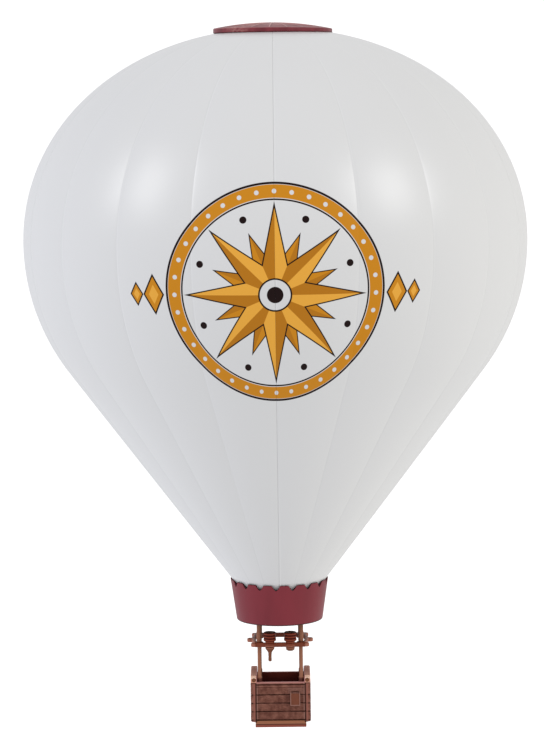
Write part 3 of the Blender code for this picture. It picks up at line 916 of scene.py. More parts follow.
def bridge_strip(mesh, left, right):
    count = len(left)
    for i in range(count):
        j = (i + 1) % count
        mesh.faces.new((left[i], left[j], right[j], right[i]))


def prism(outline, start, end):
    """Extrude a closed outline of Y and Z along X"""
    mesh = bmesh.new()
    ends = [add_verts(mesh, [(x, y, z) for y, z in outline]) for x in (start, end)]
    bridge_strip(mesh, *ends)
    for ring in ends:
        mesh.faces.new(ring)
    return mesh


def block(low, high):
    outline = [(low[1], low[2]), (high[1], low[2]), (high[1], high[2]), (low[1], high[2])]
    return prism(outline, low[0], high[0])


def sided_block(side, x_range, y_range, z_range):
    """A block on one side of the basket, its X measured outwards"""
    x_low, x_high = sorted(side * x for x in x_range)
    return block((x_low, y_range[0], z_range[0]), (x_high, y_range[1], z_range[1]))


def ended_block(side, x_range, y_range, z_range):
    """A block at the front or the back, its Y measured outwards"""
    y_low, y_high = sorted(side * y for y in y_range)
    return block((x_range[0], y_low, z_range[0]), (x_range[1], y_high, z_range[1]))


def joined(parts):
    """Put several loose bmeshes into the first"""
    whole = parts[0]
    for part in parts[1:]:
        lookup = {vert: whole.verts.new(vert.co) for vert in part.verts}
        for face in part.faces:
            whole.faces.new([lookup[vert] for vert in face.verts])
        part.free()
    return whole


def model(name, source, material, modifiers=()):
    """Turn a bmesh into a plain mesh at the origin, through its modifiers"""
    bmesh.ops.recalc_face_normals(source, faces=source.faces)
    mesh = bpy.data.meshes.new(name)
    source.to_mesh(mesh)
    source.free()
    piece = place(name, mesh, material)
    for kind, settings in modifiers:
        add_modifier(piece, kind, settings)
    if modifiers:
        settle(piece)
    return piece


def fused(name, parts, material, voxel):
    """Melt overlapping solids into one body with softened inner corners"""
    steps = [("REMESH", {"mode": "VOXEL", "voxel_size": voxel})]
    steps.append(("SMOOTH", {"factor": 0.5, "iterations": 4}))
    return model(name, joined(parts), material, steps)


def bored(piece, holes, top, bottom):
    """Open round holes, given as x, y and radius, from top to bottom"""
    drills = []
    for x, y, radius in holes:
        drills.append(turned([(0, top), (radius, top), (radius, bottom), (0, bottom)], 28, (x, y)))
    cut(piece, model("drill", joined(drills), piece.data.materials[0]))


def cut(piece, tool, *modifiers):
    """Take a tool's shape out of a piece, then run any more modifiers"""
    add_modifier(piece, "BOOLEAN", {"operation": "DIFFERENCE", "object": tool})
    for kind, settings in modifiers:
        add_modifier(piece, kind, settings)
    settle(piece)
    bpy.data.objects.remove(tool)


def soft_edges(width, segments=3):
    limit = math.radians(35)
    return ("BEVEL", {"width": width, "segments": segments, "angle_limit": limit})


# Envelope


def crown_z(radius):
    share = 1 - min(1.0, radius / WIDEST_RADIUS) ** CROWN_POWER
    return WIDEST_Z + CROWN_RISE * max(0.0, share) ** (1 / CROWN_POWER)


def envelope_outline():
    """Radius and height down the envelope along a seam, from hole to neck"""
    seat = crown_z(CAP_RADIUS)
    points = [(CROWN_HOLE_RADIUS, seat), (CAP_RADIUS - 0.5 * MM, seat)]
    crown_steps = 40
    first = math.acos((CAP_RADIUS / WIDEST_RADIUS) ** (CROWN_POWER / 2))
    for step in range(crown_steps + 1):
        angle = first * (1 - step / crown_steps)
        radius = WIDEST_RADIUS * math.cos(angle) ** (2 / CROWN_POWER)
        points.append((radius, crown_z(radius)))
    shoulder_steps = 24
    for step in range(1, shoulder_steps + 1):
        angle = CONE_ANGLE * step / shoulder_steps
        radius = WIDEST_RADIUS - SHOULDER_RADIUS * (1 - math.cos(angle))
        points.append((radius, WIDEST_Z - SHOULDER_RADIUS * math.sin(angle)))
    radius, z = points[-1]
    points.append((radius - (z - NECK_Z) * math.tan(CONE_ANGLE), NECK_Z))
    return points


def polyline_mesh(name, points):
    mesh = bpy.data.meshes.new(name)
    edges = [(i, i + 1) for i in range(len(points) - 1)]
    mesh.from_pydata([(radius, 0, z) for radius, z in points], edges, [])
    return mesh


def gored_shell_tree():
    """Sweep a profile half way round Z, swelling it between the seams"""
    inputs = {"Gores": "Int", "Bulge": "Float", "Side": "Float", "Gap": "Float", "Step": "Float"}
    tree = GeometryTree("gored_shell", **inputs)
    columns = tree["Gores"] * (COLUMNS_PER_GORE / 2) + 1
    grid = tree.step("MeshGrid", Size_X=1, Size_Y=1, Vertices_X=PROFILE_ROWS, Vertices_Y=columns)
    down, around, _ = tree.split(tree.step("InputPosition"))
    curve = tree.step("MeshToCurve", Mesh=tree["Geometry"])
    settings = {"mode": "FACTOR", "use_all_curves": True}
    values = {"Curves": curve, "Factor": tree.clamp(down + 0.5)}
    sample = tree.wire("GeometryNodeSampleCurve", settings, values, "Position")
    radius, _, height = tree.split(sample)

    nudge = 0.0001
    gore = (around + 0.5) * (tree["Gores"] / 2)
    whole = tree.math("ROUND", tree.math("FLOOR", gore + nudge))
    part = tree.clamp(gore - whole)
    eased = part - tree.math("SINE", part * TURN) * (COLUMN_CROWDING / TURN)
    angle = (whole + eased) * (TURN / tree["Gores"])

    fade_start, fade_reach = CAP_RADIUS * 0.9, WIDEST_RADIUS * 0.55
    groove_half_width, groove_depth = 0.03, 0.12
    fade = tree.clamp((radius - fade_start) / fade_reach) ** 0.7
    swell = 4 * eased * (1 - eased)
    off_seam = tree.absolute(eased - tree.math("ROUND", eased))
    groove = tree.clamp(1 - off_seam / groove_half_width)
    swell = swell - groove_depth * groove * groove
    puffed = radius + fade * tree["Bulge"] * swell + tree["Step"]

    y = -(puffed * tree.math("COSINE", angle))
    x = tree.math("MAXIMUM", puffed * tree.math("SINE", angle), tree["Gap"] / 2) * tree["Side"]
    tree.finish(tree.step("SetPosition", Geometry=grid, Position=tree.join(x, y, height)))
    return tree


def make_envelope(white):
    tree = gored_shell_tree()
    outline = polyline_mesh("envelope_outline", envelope_outline())
    for word, side, step in (("left", -1.0, 0.0), ("right", 1.0, SEAM_STEP)):
        values = {"Gores": GORES, "Bulge": GORE_BULGE, "Side": side, "Gap": SEAM_GAP, "Step": step}
        shell = tree.grow(f"envelope_shell_{word}", outline, white, **values)
        point_outwards(shell)
        add_modifier(shell, "SOLIDIFY", {"thickness": WALL, "offset": -1.0})
        settle(shell)
        finish_piece(shell, f"envelope_{word}", smooth=50)


def point_outwards(piece):
    """Turn an open shell's faces away from the axis"""
    mesh = bmesh.new()
    mesh.from_mesh(piece.data)
    mesh.faces.ensure_lookup_table()
    face = max(mesh.faces, key=lambda f: f.calc_center_median().xy.length)
    if face.normal.xy.dot(face.calc_center_median().xy) < 0:
        bmesh.ops.reverse_faces(mesh, faces=mesh.faces)
    mesh.to_mesh(piece.data)
    mesh.free()


# Crown cap


def make_crown_cap(plastic):
    """A low dome of twenty fluted panels over a plain rim, with a hollow plug below"""
    rim_bottom = crown_z(CAP_RADIUS) - 0.1 * MM
    edge = 0.25 * MM
    flute_depth = 0.28 * MM
    plug = CROWN_HOLE_RADIUS - 0.2 * MM
    plug_inside = plug - 1.1 * MM
    plug_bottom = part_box("crown_cap")[0][2]
    ceiling = -1.2 * MM
    columns = GORES * CAP_COLUMNS_PER_PANEL
    dome_rings = 14
    mesh = bmesh.new()
    rings = [add_verts(mesh, [(0, 0, 0)])]

    def ring(radius, z, dip=0.0):
        points = []
        for column in range(columns):
            angle = CAP_PHASE + TURN * column / columns
            share = column % CAP_COLUMNS_PER_PANEL / CAP_COLUMNS_PER_PANEL
            points.append(front_point(radius, angle, z - dip * flute(share)))
        rings.append(add_verts(mesh, points))

    for step in range(1, dome_rings + 1):
        out = step / dome_rings
        dip = flute_depth * math.sin(math.pi * min(1.0, out * 0.98)) ** 0.8
        ring((CAP_RADIUS - edge) * out, CAP_RIM_TOP * out ** 2, dip)
    rim_and_plug = [
        (CAP_RADIUS - edge, CAP_RIM_TOP - 0.02 * MM),
        (CAP_RADIUS, CAP_RIM_TOP - edge * 0.6),
        (CAP_RADIUS, rim_bottom + edge * 0.6),
        (CAP_RADIUS - edge, rim_bottom),
        (plug, rim_bottom),
        (plug, plug_bottom + edge),
        (plug - edge, plug_bottom),
        (plug_inside, plug_bottom),
        (plug_inside, rim_bottom),
    ]
    for radius, z in filleted(rim_and_plug, 0.1 * MM, 2):
        ring(radius, z)
    rings.append(add_verts(mesh, [(0, 0, ceiling)]))
    bridge_all(mesh, rings)
    mesh.transform(Matrix.Rotation(CAP_TILT, 4, "Y"))
    cap = model("crown_cap_dome", mesh, plastic)
    finish_piece(cap, "crown_cap", smooth=28)


def flute(share):
    """A shallow hollow across a panel, with a raised rib at each side"""
    return math.sin(math.pi * share) ** 0.5 if 0 < share < 1 else 0.0


# Skirt


def skirt_radius(z):
    """The skirt's outer radius at a height"""
    top_radius, _, top = SKIRT_HIGH
    return top_radius + (SKIRT_FOOT_RADIUS - top_radius) * ((top - z) / (top - SKIRT_LOW[2]))


def notch_angles():
    """Angles round the skirt, close together in each notch, with each one's share of cut"""
    spread = [-1.0, -0.88, -0.74, -0.58, -0.42, -0.26, -0.1, 0.1, 0.26, 0.42, 0.58, 0.74, 0.88, 1.0]
    plain = 10
    pitch = TURN / NOTCHES
    offsets = [NOTCH_HALF * share for share in spread]
    offsets += [NOTCH_HALF + (pitch - 2 * NOTCH_HALF) * i / plain for i in range(1, plain)]
    for notch in range(NOTCHES):
        for offset in offsets:
            cut_share = max(0.0, 1 - (abs(offset) / NOTCH_HALF) ** 1.5)
            yield NOTCH_PHASE + notch * pitch + offset, cut_share


def make_skirt(plastic):
    """A tapering band, notched at the top, with a ledge inside for the neck and posts"""
    foot, foot_radius = SKIRT_LOW[2], SKIRT_FOOT_RADIUS
    wall = 0.85 * MM
    lip = 0.33 * MM
    edge = 0.1 * MM
    plain_top = SKIRT_HIGH[2] - 2.1 * MM
    ledge_top = NECK_Z - 0.2 * MM
    ledge_foot = ledge_top - 1.2 * MM
    hole = 6.9 * MM
    post_hole = 0.87 * MM
    mesh = bmesh.new()
    columns = []
    for angle, cut_share in notch_angles():
        top = SKIRT_HIGH[2] - NOTCH_DEPTH * cut_share
        outer = skirt_radius(top)
        section = [
            (outer - lip - (wall - lip) * cut_share, top),
            (outer - edge, top + 0.02 * MM),
            (outer, top - edge),
            (skirt_radius(plain_top), plain_top),
            (skirt_radius(ledge_top), ledge_top),
            (foot_radius + 0.05 * MM, foot + 0.35 * MM),
            (foot_radius - 0.02 * MM, foot + edge),
            (foot_radius - 0.14 * MM, foot),
            (foot_radius - wall + edge, foot),
            (foot_radius - wall, foot + edge),
            (skirt_radius(ledge_foot) - wall, ledge_foot),
            (hole + edge, ledge_foot),
            (hole, ledge_foot + edge),
            (hole, ledge_top - edge),
            (hole + edge, ledge_top),
            (skirt_radius(ledge_top) - wall, ledge_top),
            (skirt_radius(plain_top) - wall, plain_top),
        ]
        columns.append(add_verts(mesh, [front_point(radius, angle, z) for radius, z in section]))
    close_round(mesh, columns)
    skirt = model("skirt_band", mesh, plastic)
    holes = [(x, y, post_hole) for x, y in post_places()]
    bored(skirt, holes, ledge_top + MM, ledge_foot - MM)
    finish_piece(skirt, "skirt", smooth=40)


# Posts


def post_places():
    boxes = [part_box(f"post_{word}") for word in POSTS]
    return [((low[0] + high[0]) / 2, (low[1] + high[1]) / 2) for low, high in boxes]


def make_posts(plastic):
    """Rods with a sleeve under the skirt and another in the basket's corner"""
    low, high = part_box("post_front_left")
    top, foot = high[2], low[2]
    rod = 0.56 * MM
    sleeve = 0.72 * MM
    swell = sleeve + 0.07 * MM
    outline = [
        (0, top),
        (sleeve, top),
        (sleeve, SHOULDER_Z + 3.1 * MM),
        (swell, SHOULDER_Z + 3.0 * MM),
        (swell, SHOULDER_Z + 0.5 * MM),
        (sleeve, SHOULDER_Z),
        (rod, SHOULDER_Z),
        (rod, RAIL_TOP),
        (sleeve, RAIL_TOP - 0.25 * MM),
        (sleeve, foot),
        (0, foot),
    ]
    outline = filleted(outline, 0.12 * MM)
    for word, spot in zip(POSTS, post_places()):
        post = model(f"post_rod_{word}", turned(outline, 32, spot), plastic)
        finish_piece(post, f"post_{word}")


# Burner frame and burners


def hoop(corners, width, low, high, edge):
    """A bar of rounded section round a closed plan outline, mitred at its corners"""
    half = width / 2
    section = rounded_loop([(half, low), (half, high), (-half, high), (-half, low)], edge)
    mesh = bmesh.new()
    spots = [Vector(corner) for corner in corners]
    rings = []
    for before, spot, after in zip(spots[-1:] + spots, spots, spots[1:] + spots[:1]):
        into = (spot - before).normalized()
        onward = (after - spot).normalized()
        first = Vector((into.y, -into.x))
        second = Vector((onward.y, -onward.x))
        mitre = (first + second) / (1 + first.dot(second))
        rings.append(add_verts(mesh, [(*(spot + mitre * out), z) for out, z in section]))
    close_round(mesh, rings)
    return mesh


def washer(x, y, radius, hole, low, high):
    """A rounded ring lying flat"""
    edge = min(0.25 * MM, (radius - hole) * 0.45)
    section = rounded_loop([(radius, low), (radius, high), (hole, high), (hole, low)], edge)
    return turned_ring(section, 28, (x, y))


def make_burner_frame(plastic):
    """A six-sided hoop with eyelets at its corners, post sockets and burner seats"""
    bottom, top = FRAME_FOOT_Z, FRAME_TOP_Z
    corner_x, side_x = 7.1 * MM, 8.0 * MM
    corners = [(-corner_x, -FRAME_FRONT), (corner_x, -FRAME_FRONT), (side_x, 0)]
    corners += [(-x, -y) for x, y in corners]
    eyelets = []
    for side in (-1, 1):
        for x, y in ((7.6 * MM, -FRAME_FRONT), (8.8 * MM, 0), (7.5 * MM, FRAME_FRONT)):
            eyelets.append((side * x, y))
    seats = [(side * BURNER_X, -FRAME_FRONT) for side in (-1, 1)]
    parts = [hoop(corners, 1.05 * MM, bottom - 0.15 * MM, top + 0.12 * MM, 0.25 * MM)]
    holes = []
    for spots, radius, hole, proud in (
        (eyelets, 0.97 * MM, 0.52 * MM, 0),
        (seats, BODY_RADIUS, 0.75 * MM, 0),
        (post_places(), 1.25 * MM, 0.71 * MM, 0.1 * MM),
    ):
        for x, y in spots:
            parts.append(washer(x, y, radius, hole, bottom - proud, top + proud))
            holes.append((x, y, hole))
    plate = fused("burner_frame_ring", parts, plastic, 0.1 * MM)
    bored(plate, holes, top + MM, bottom - MM)
    finish_piece(plate, "burner_frame", smooth=40)


def make_burners(plastic):
    """A ringed can with a small mouth on each seat"""
    mouth = CAN_TOP_Z - 0.35 * MM
    outline = [
        (0, mouth),
        (CAN_RADIUS * 0.55, mouth),
        (CAN_RADIUS * 0.62, CAN_TOP_Z - 0.05 * MM),
        (CAN_MOUTH_RADIUS, CAN_TOP_Z),
    ]
    groove = 0.2 * MM
    steps = 6
    for ring in range(CAN_RINGS):
        for step in range(steps + 1):
            bulge = math.sin(math.pi * step / steps) ** 0.4
            z = CAN_TOP_Z - CAN_PITCH * (ring + step / steps)
            outline.append((CAN_RADIUS - groove * (1 - bulge), z))
    outline += [
        (BODY_RADIUS, CAN_FOOT_Z - 0.05 * MM),
        (BODY_RADIUS, SHOULDER_Z),
        (SPIGOT_RADIUS, SHOULDER_Z),
        (SPIGOT_RADIUS, BURNER_LOW[2]),
        (0, BURNER_LOW[2]),
    ]
    for word, side in (("left", -1), ("right", 1)):
        mesh = turned(outline, 48, (side * BURNER_X, BURNER_Y))
        burner = model(f"burner_can_{word}", mesh, plastic)
        finish_piece(burner, f"burner_{word}", smooth=38)


def make_handle_and_valve(plastic):
    """Under the burners, a waisted handle on the left and a plain valve on the right"""
    seat = FRAME_FOOT_Z - 0.18 * MM
    rod = 0.52 * MM
    cup_foot = -183.6 * MM
    handle = [
        # radius, height
        (BODY_RADIUS, seat - 0.45 * MM),
        (rod * 1.35, cup_foot),
        (rod, cup_foot - 0.4 * MM),
        (rod * 0.9, cup_foot - 1.6 * MM),
    ]
    valve_radius = BODY_RADIUS * 0.94
    valve = [
        # radius, height
        (BODY_RADIUS, seat - 0.25 * MM),
        (valve_radius, seat - 0.32 * MM),
    ]
    for name, side, sides, end, tip in (
        ("handle", -1, handle, rod, rod * 0.6),
        ("valve", 1, valve, valve_radius, BODY_RADIUS * 0.6),
    ):
        low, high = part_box(f"burner_{name}")
        foot, top = low[2], high[2]
        outline = [(0, top), (SPIGOT_RADIUS, top), (SPIGOT_RADIUS, seat), (BODY_RADIUS, seat)]
        outline += [*sides, (end, foot + 0.3 * MM), (tip, foot), (0, foot)]
        mesh = turned(filleted(outline, 0.12 * MM), 40, (side * BURNER_X, BURNER_Y))
        piece = model(f"burner_{name}_body", mesh, plastic)
        finish_piece(piece, f"burner_{name}")


# Basket


def wicker_tree():
    """Strands woven over stakes on the XZ plane, standing out towards -Y"""
    inputs = {"Width": "Float", "Height": "Float", "Rows": "Int", "Stakes": "Int", "Wave": "Float"}
    tree = GeometryTree("wicker", **inputs)
    width, height = tree["Width"], tree["Height"]
    pitch = width / tree["Stakes"]
    row_pitch = height / tree["Rows"]
    stake_radius, strand_radius = pitch * 0.13, row_pitch * 0.46
    sides = 6
    circle = tree.step("CurvePrimitiveCircle", Resolution=sides, Radius=1)

    def spaced(count, first, offset):
        return tree.step("MeshLine", Count=count, Start_Location=first, Offset=offset)

    def strand(phase):
        start, end = tree.join(width / -2, 0, 0), tree.join(width / 2, 0, 0)
        line = tree.step("CurvePrimitiveLine", Start=start, End=end)
        fine = tree.step("ResampleCurve", Curve=line, Count=tree["Stakes"] * 4 + 1)
        x, _, _ = tree.split(tree.step("InputPosition"))
        wave = tree.math("SINE", x / pitch * math.pi + phase) * tree["Wave"]
        bent = tree.step("SetPosition", Geometry=fine, Offset=tree.join(0, wave, 0))
        size = tree.join(strand_radius, strand_radius, 1)
        section = tree.step("Transform", Geometry=circle, Scale=size)
        return tree.step("CurveToMesh", Curve=bent, Profile_Curve=section, Fill_Caps=True)

    first = tree.join(0, 0, row_pitch / 2 - height / 2)
    rows = spaced(tree["Rows"], first, tree.join(0, 0, row_pitch))
    odd = tree.math("MODULO", tree.step("InputIndex"), 2)
    over = tree.instanced(rows, strand(0.0), Selection=odd)
    under = tree.instanced(rows, strand(math.pi), Selection=1 - odd)

    first = tree.join(pitch / 2 - width / 2, 0, height / -2)
    spots = spaced(tree["Stakes"], first, tree.join(pitch, 0, 0))
    stake = tree.step("MeshCylinder", Vertices=sides, Radius=stake_radius, Depth=height)
    stake = tree.step("Transform", Geometry=stake, Translation=tree.join(0, 0, height / 2))
    tree.finish(over, under, tree.instanced(spots, stake))
    return tree


def banded_outline(face, inner, bands, groove):
    """A wall's section below its rim: rounded bands outside, flat inside"""
    points = []
    steps = 8
    for high, low in zip(bands, bands[1:]):
        for step in range(steps + 1):
            turn = step / steps
            swell = math.sin(math.pi * turn) ** 0.3 if 0 < step < steps else 0.0
            points.append((face - groove * (1 - swell), high + (low - high) * turn))
    points.append((inner, bands[-1]))
    return points


def wicker_face(tree, name, material, size, counts, facing):
    """One band of wicker, moved to its wall by a matrix"""
    host = bpy.data.meshes.new(f"{name}_seed")
    values = {"Width": size[0], "Height": size[1], "Rows": counts[0], "Stakes": counts[1]}
    piece = tree.grow(name, host, material, Wave=0.07 * MM, **values)
    piece.data.transform(facing)
    return piece


def wall_weave(tree, name, material, bands, width, stakes, trim, reach, turn):
    """Wicker on each band of a wall, so far out from the middle and turned about Z"""
    weave = []
    for i, (upper, lower) in enumerate(zip(bands, bands[1:])):
        height = upper - lower - trim
        rows = max(6, round(height / WEAVE_PITCH))
        spot = Matrix.Translation((0, -reach, (upper + lower) / 2))
        facing = Matrix.Rotation(turn, 4, "Z") @ spot
        size = (width, height)
        weave.append(wicker_face(tree, f"{name}_{i}", material, size, (rows, stakes), facing))
    return weave


def absorb(target, others):
    """Join other pieces' meshes into one piece"""
    mesh = bmesh.new()
    for piece in (target, *others):
        mesh.from_mesh(piece.data)
    mesh.to_mesh(target.data)
    mesh.free()
    for piece in others:
        bpy.data.objects.remove(piece)


def gather(name, parts, material, node, smooth):
    """Join loose parts into the one piece that stands for a node"""
    whole = model(name, bmesh.new(), material)
    absorb(whole, parts)
    finish_piece(whole, node, smooth=smooth)


def make_basket(wicker, base_brown, pouch_brown):
    tree = wicker_tree()
    for word, side in (("front", -1), ("back", 1)):
        make_end_wall(tree, word, side, wicker)
    for word, side in (("left", -1), ("right", 1)):
        make_side_wall(tree, word, side, wicker)
        make_rail(tree, word, wicker)
    make_base(base_brown)
    make_pocket(pouch_brown)


def band_joints(bottom):
    """Heights of the joints between the wicker bands, from the plain strip's foot down"""
    return [STRIP_FOOT, *(FIRST_JOINT - BAND_PITCH * i for i in range(3)), bottom]


def make_end_wall(tree, word, side, wicker):
    """The front or back wall: a rim, a plain strip, four bands and two borders"""
    node = f"basket_{word}"
    low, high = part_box(node)
    half_x, bottom, top = high[0], low[2], high[2]
    inner = min(abs(low[1]), abs(high[1]))
    face = BASKET_FACE
    bands = [RIM_JOINT - 0.1 * MM, *band_joints(bottom)]
    outline = [
        (inner, top),
        (face + RIM_LIP * 0.3, top),
        (face + RIM_LIP, top - 0.2 * MM),
        (face + RIM_LIP, RIM_JOINT + 0.2 * MM),
        (face - 0.25 * MM, RIM_JOINT + 0.08 * MM),
    ]
    outline += banded_outline(face - 0.1 * MM, inner, bands, 0.3 * MM)
    parts = [prism([(side * y, z) for y, z in outline], -half_x, half_x)]
    border_depth = (inner, face + 0.03 * MM)
    for x_range in ((-half_x, -BORDER_INNER), (BORDER_INNER, half_x)):
        parts.append(ended_block(side, x_range, border_depth, (bottom, STRIP_FOOT)))
    backing_depth = (inner + 0.02 * MM, face - 0.4 * MM)
    backing_height = (bottom, top - 0.3 * MM)
    parts.append(ended_block(side, (-WALL_INNER, WALL_INNER), backing_depth, backing_height))
    wall = model(f"basket_wall_{word}", joined(parts), wicker)
    sizes = {"width": BORDER_INNER * 1.99, "stakes": 17, "trim": 0.3 * MM}
    place_of = {"reach": face - 0.09 * MM, "turn": 0 if side < 0 else math.pi}
    absorb(wall, wall_weave(tree, f"weave_{word}", wicker, bands[1:], **sizes, **place_of))
    finish_piece(wall, node, smooth=45)


def make_side_wall(tree, word, side, wicker):
    """A side wall: a plain core whose edge shows in front, padded bands outside"""
    node = f"basket_{word}"
    low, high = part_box(node)
    outer = max(abs(low[0]), abs(high[0]))
    inner = min(abs(low[0]), abs(high[0]))
    half_y, bottom, top = high[1], low[2], high[2]
    end = half_y - 0.06 * MM
    bands = [top + 0.1 * MM, *band_joints(bottom)[1:]]
    core = sided_block(side, (inner, PILLOW_INNER), (-half_y, half_y), (bottom, top))
    parts = [model("core", core, wicker, [soft_edges(0.14 * MM)])]
    for upper, lower in zip(bands, bands[1:]):
        z_range = (lower + JOINT_GAP, upper - JOINT_GAP)
        pad = sided_block(side, (inner + 0.3 * MM, outer), (-end, end), z_range)
        parts.append(model("pad", pad, wicker, [soft_edges(0.3 * MM, 4)]))
    sizes = {"width": end * 1.9, "stakes": 18, "trim": 0.5 * MM}
    place_of = {"reach": outer - 0.06 * MM, "turn": side * math.pi / 2}
    parts += wall_weave(tree, f"weave_{word}", wicker, bands, **sizes, **place_of)
    gather(f"basket_wall_{word}", parts, wicker, node, 45)


def make_rail(tree, word, wicker):
    """A wicker-topped beam with a plain block and a round peg at its front"""
    node = f"rail_{word}"
    low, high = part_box(node)
    front = low[1] + 0.12 * MM
    block_end = low[1] + 1.25 * MM
    middle_x, middle_z = (low[0] + high[0]) / 2, (low[2] + high[2]) / 2
    beam_low = (low[0] - 0.06 * MM, block_end + 0.12 * MM, low[2])
    beam_high = (high[0] + 0.06 * MM, high[1], high[2] + 0.2 * MM)
    core_low = (low[0] + 0.3 * MM, block_end - 0.3 * MM, low[2] + 0.3 * MM)
    core_high = (high[0] - 0.3 * MM, block_end + MM, high[2] - 0.4 * MM)
    nose = block((low[0], front, low[2]), (high[0], block_end, high[2]))
    parts = [
        model("nose", nose, wicker, [soft_edges(0.22 * MM, 4)]),
        model("beam", block(beam_low, beam_high), wicker, [soft_edges(0.25 * MM, 4)]),
        model("core", block(core_low, core_high), wicker),
    ]
    lay = Matrix.Rotation(math.pi / -2, 4, "X")
    proud, sunk = 0.12 * MM, 0.5 * MM
    head = (PEG_RADIUS - proud, -proud)
    outline = [(0, -proud), head, (PEG_RADIUS, 0), (PEG_RADIUS, sunk), (0, sunk)]
    peg = model("peg", turned(filleted(outline, 0.08 * MM), 24), wicker)
    peg.data.transform(Matrix.Translation((middle_x, front, middle_z)) @ lay)
    parts.append(peg)
    size = (beam_high[1] - beam_low[1] - 0.5 * MM, high[0] - low[0] - 0.45 * MM)
    spot = (middle_x, (beam_low[1] + beam_high[1]) / 2, beam_high[2] - 0.02 * MM)
    facing = Matrix.Translation(spot) @ Matrix.Rotation(math.pi / 2, 4, "Z") @ lay
    parts.append(wicker_face(tree, f"weave_{node}", wicker, size, (5, 18), facing))
    gather(f"rail_beam_{word}", parts, wicker, node, 50)


def make_base(plastic):
    """A sloping base, cut back at its sides where the side walls stand"""
    low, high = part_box("basket_floor")
    edge = low[2] + 1.0 * MM
    outline = [
        (low[1], low[2]),
        (high[1], low[2]),
        (high[1], edge),
        (BASKET_FACE, high[2]),
        (-BASKET_FACE, high[2]),
        (low[1], edge),
    ]
    rebate_x = (7.1 * MM, 9 * MM)
    rebate_y = (-7.6 * MM, 7.6 * MM)
    rebate_z = (-205.0 * MM, high[2] + MM)
    rebates = [sided_block(side, rebate_x, rebate_y, rebate_z) for side in (-1, 1)]
    base = model("basket_base", prism(outline, low[0], high[0]), plastic)
    cut(base, model("rebates", joined(rebates), plastic), soft_edges(0.12 * MM))
    finish_piece(base, "basket_floor", smooth=50)


def make_pocket(plastic):
    """A flat pouch: a panel within a raised edge on three sides"""
    (left, front, _), (right, back, top) = POCKET_LOW, POCKET_HIGH
    foot = POCKET_LOW[2] + POUCH_LIFT
    panel_front = front + 0.17 * MM
    parts = [
        block((left, panel_front, foot), (right, back, top - 0.25 * MM)),
        block((left, front, foot), (left + POUCH_EDGE, back, top)),
        block((right - POUCH_EDGE, front, foot), (right, back, top)),
        block((left, front, foot), (right, back, foot + POUCH_EDGE)),
    ]
    pocket = fused("pocket_pouch", parts, plastic, 0.05 * MM)
    finish_piece(pocket, "pocket", smooth=50)


# Stage, light and camera


def make_stage():
    """A pale floor under the hanging model, curving up behind it

    It shines a little and throws nothing back, so the tent alone lights the model.
    """
    surface = Surface("pale_floor", 0.9)
    surface.set("Base Color", FLOOR_WHITE)
    surface.set("Emission Color", (1.0, 1.0, 1.0))
    surface.set("Emission Strength", 0.4)
    bend_start = STAGE_BACK - STAGE_BEND
    outline = [(-STAGE_FRONT, FLOOR_Z), (bend_start, FLOOR_Z)]
    steps = 24
    for step in range(1, steps + 1):
        angle = math.pi / 2 * step / steps
        y = bend_start + STAGE_BEND * math.sin(angle)
        outline.append((y, FLOOR_Z + STAGE_BEND * (1 - math.cos(angle))))
    outline.append((STAGE_BACK, STAGE_TOP))
    verts = [(x, y, z) for x in (-STAGE_SIDE, STAGE_SIDE) for y, z in outline]
    count = len(outline)
    faces = [(i, count + i, count + i + 1, i + 1) for i in range(count - 1)]
    mesh = bpy.data.meshes.new("pale_floor")
    mesh.from_pydata(verts, [], faces)
    mesh.shade_smooth()
    floor = place("pale_floor", mesh, surface.material)
    floor.visible_diffuse = False
    floor.visible_glossy = False
    floor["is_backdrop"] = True


def add_softbox(name, azimuth, climb, size, power):
    """A rectangular lamp 1 m from the lit point, turned to face it"""
    light = bpy.data.lights.new(name, "AREA")
    light.shape = "RECTANGLE"
    light.size, light.size_y = size
    light.energy = power
    lamp = bpy.data.objects.new(name, light)
    turn, lift = math.radians(azimuth), math.radians(climb)
    away = Vector(front_point(math.cos(lift), turn, math.sin(lift)))
    lamp.location = away + Vector(LIT_POINT)
    lamp.rotation_euler = (-away).to_track_quat("-Z", "Y").to_euler()
    bpy.context.scene.collection.objects.link(lamp)


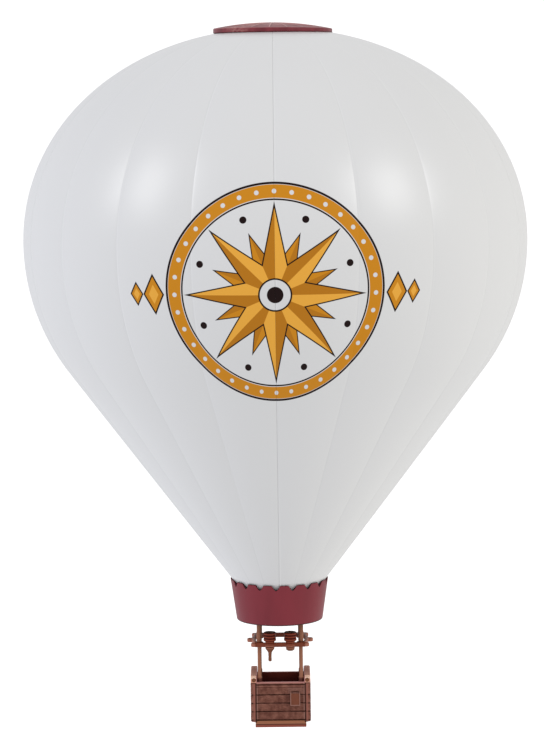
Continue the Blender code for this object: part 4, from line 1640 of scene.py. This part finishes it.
def make_light():
    """A white tent, dimmer at the camera's end, and a soft box at each side"""
    world = bpy.data.worlds.new("studio")
    world.use_nodes = True
    sky = world.node_tree.nodes["Background"]
    tent = Graph(world.node_tree)
    across, away, up = tent.split(tent.wire("ShaderNodeTexCoord", output="Generated"))
    slant = math.sqrt(0.5)
    below_camera = tent.clamp((away + up) * -slant)
    beside_below = tent.clamp((tent.absolute(across) - up) * slant)
    strength = TENT_STRENGTH - TENT_BACK_DIM * tent.clamp(away) - TENT_FRONT_DIM * below_camera
    strength = strength - TENT_TOP_DIM * tent.clamp(up) + TENT_SIDE_LIFT * beside_below
    tint = tent.mix(tent.ramp(across, -1, 1), TENT_LEFT_TINT, TENT_RIGHT_TINT)
    for title, value in (("Color", tint), ("Strength", strength)):
        world.node_tree.links.new(value.socket, sky.inputs[title])
    bpy.context.scene.world = world
    for name, azimuth, climb, width, height, power in SOFTBOXES:
        add_softbox(name, azimuth, climb, (width, height), power)
    bpy.context.scene.view_settings.view_transform = "Standard"


def make_camera():
    """The photograph's view, from just below the crown's height and 0.76 m away"""
    swing = Matrix.Rotation(math.radians(CAMERA_SWING), 4, "Z")
    tip = Matrix.Rotation(math.radians(CAMERA_TIP), 4, "X")
    lean = Matrix.Rotation(math.radians(CAMERA_LEAN), 4, "Z")
    lens = bpy.data.cameras.new("camera")
    lens.sensor_width = SENSOR_WIDTH
    lens.lens = FOCAL_LENGTH
    lens.clip_start = 0.01
    camera = bpy.data.objects.new("camera", lens)
    camera.matrix_world = swing @ Matrix.Translation(CAMERA_PLACE) @ tip @ lean
    bpy.context.scene.collection.objects.link(camera)
    bpy.context.scene.camera = camera


def write_sizes():
    sizes = {"cad": cad_bounds, "visual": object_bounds()}
    plain = {key: [list(map(float, corner)) for corner in box] for key, box in sizes.items()}


def main():
    make_camera()
    make_light()
    make_stage()
    make_envelope(make_envelope_white())
    make_crown_cap(make_crown_burgundy())
    make_skirt(make_skirt_burgundy())
    make_posts(make_moulded("post_brown", POST, POST_FOOT_SHADE, post_feet_in_shade))
    make_burner_frame(make_moulded("frame_brown", FRAME, FRAME_HIGHLIGHT, frame_highlight_places))
    burner_brown = make_burner_brown()
    make_burners(burner_brown)
    make_handle_and_valve(burner_brown)
    make_basket(make_wicker(), make_base_brown(), make_pouch_brown())


main()
write_sizes()
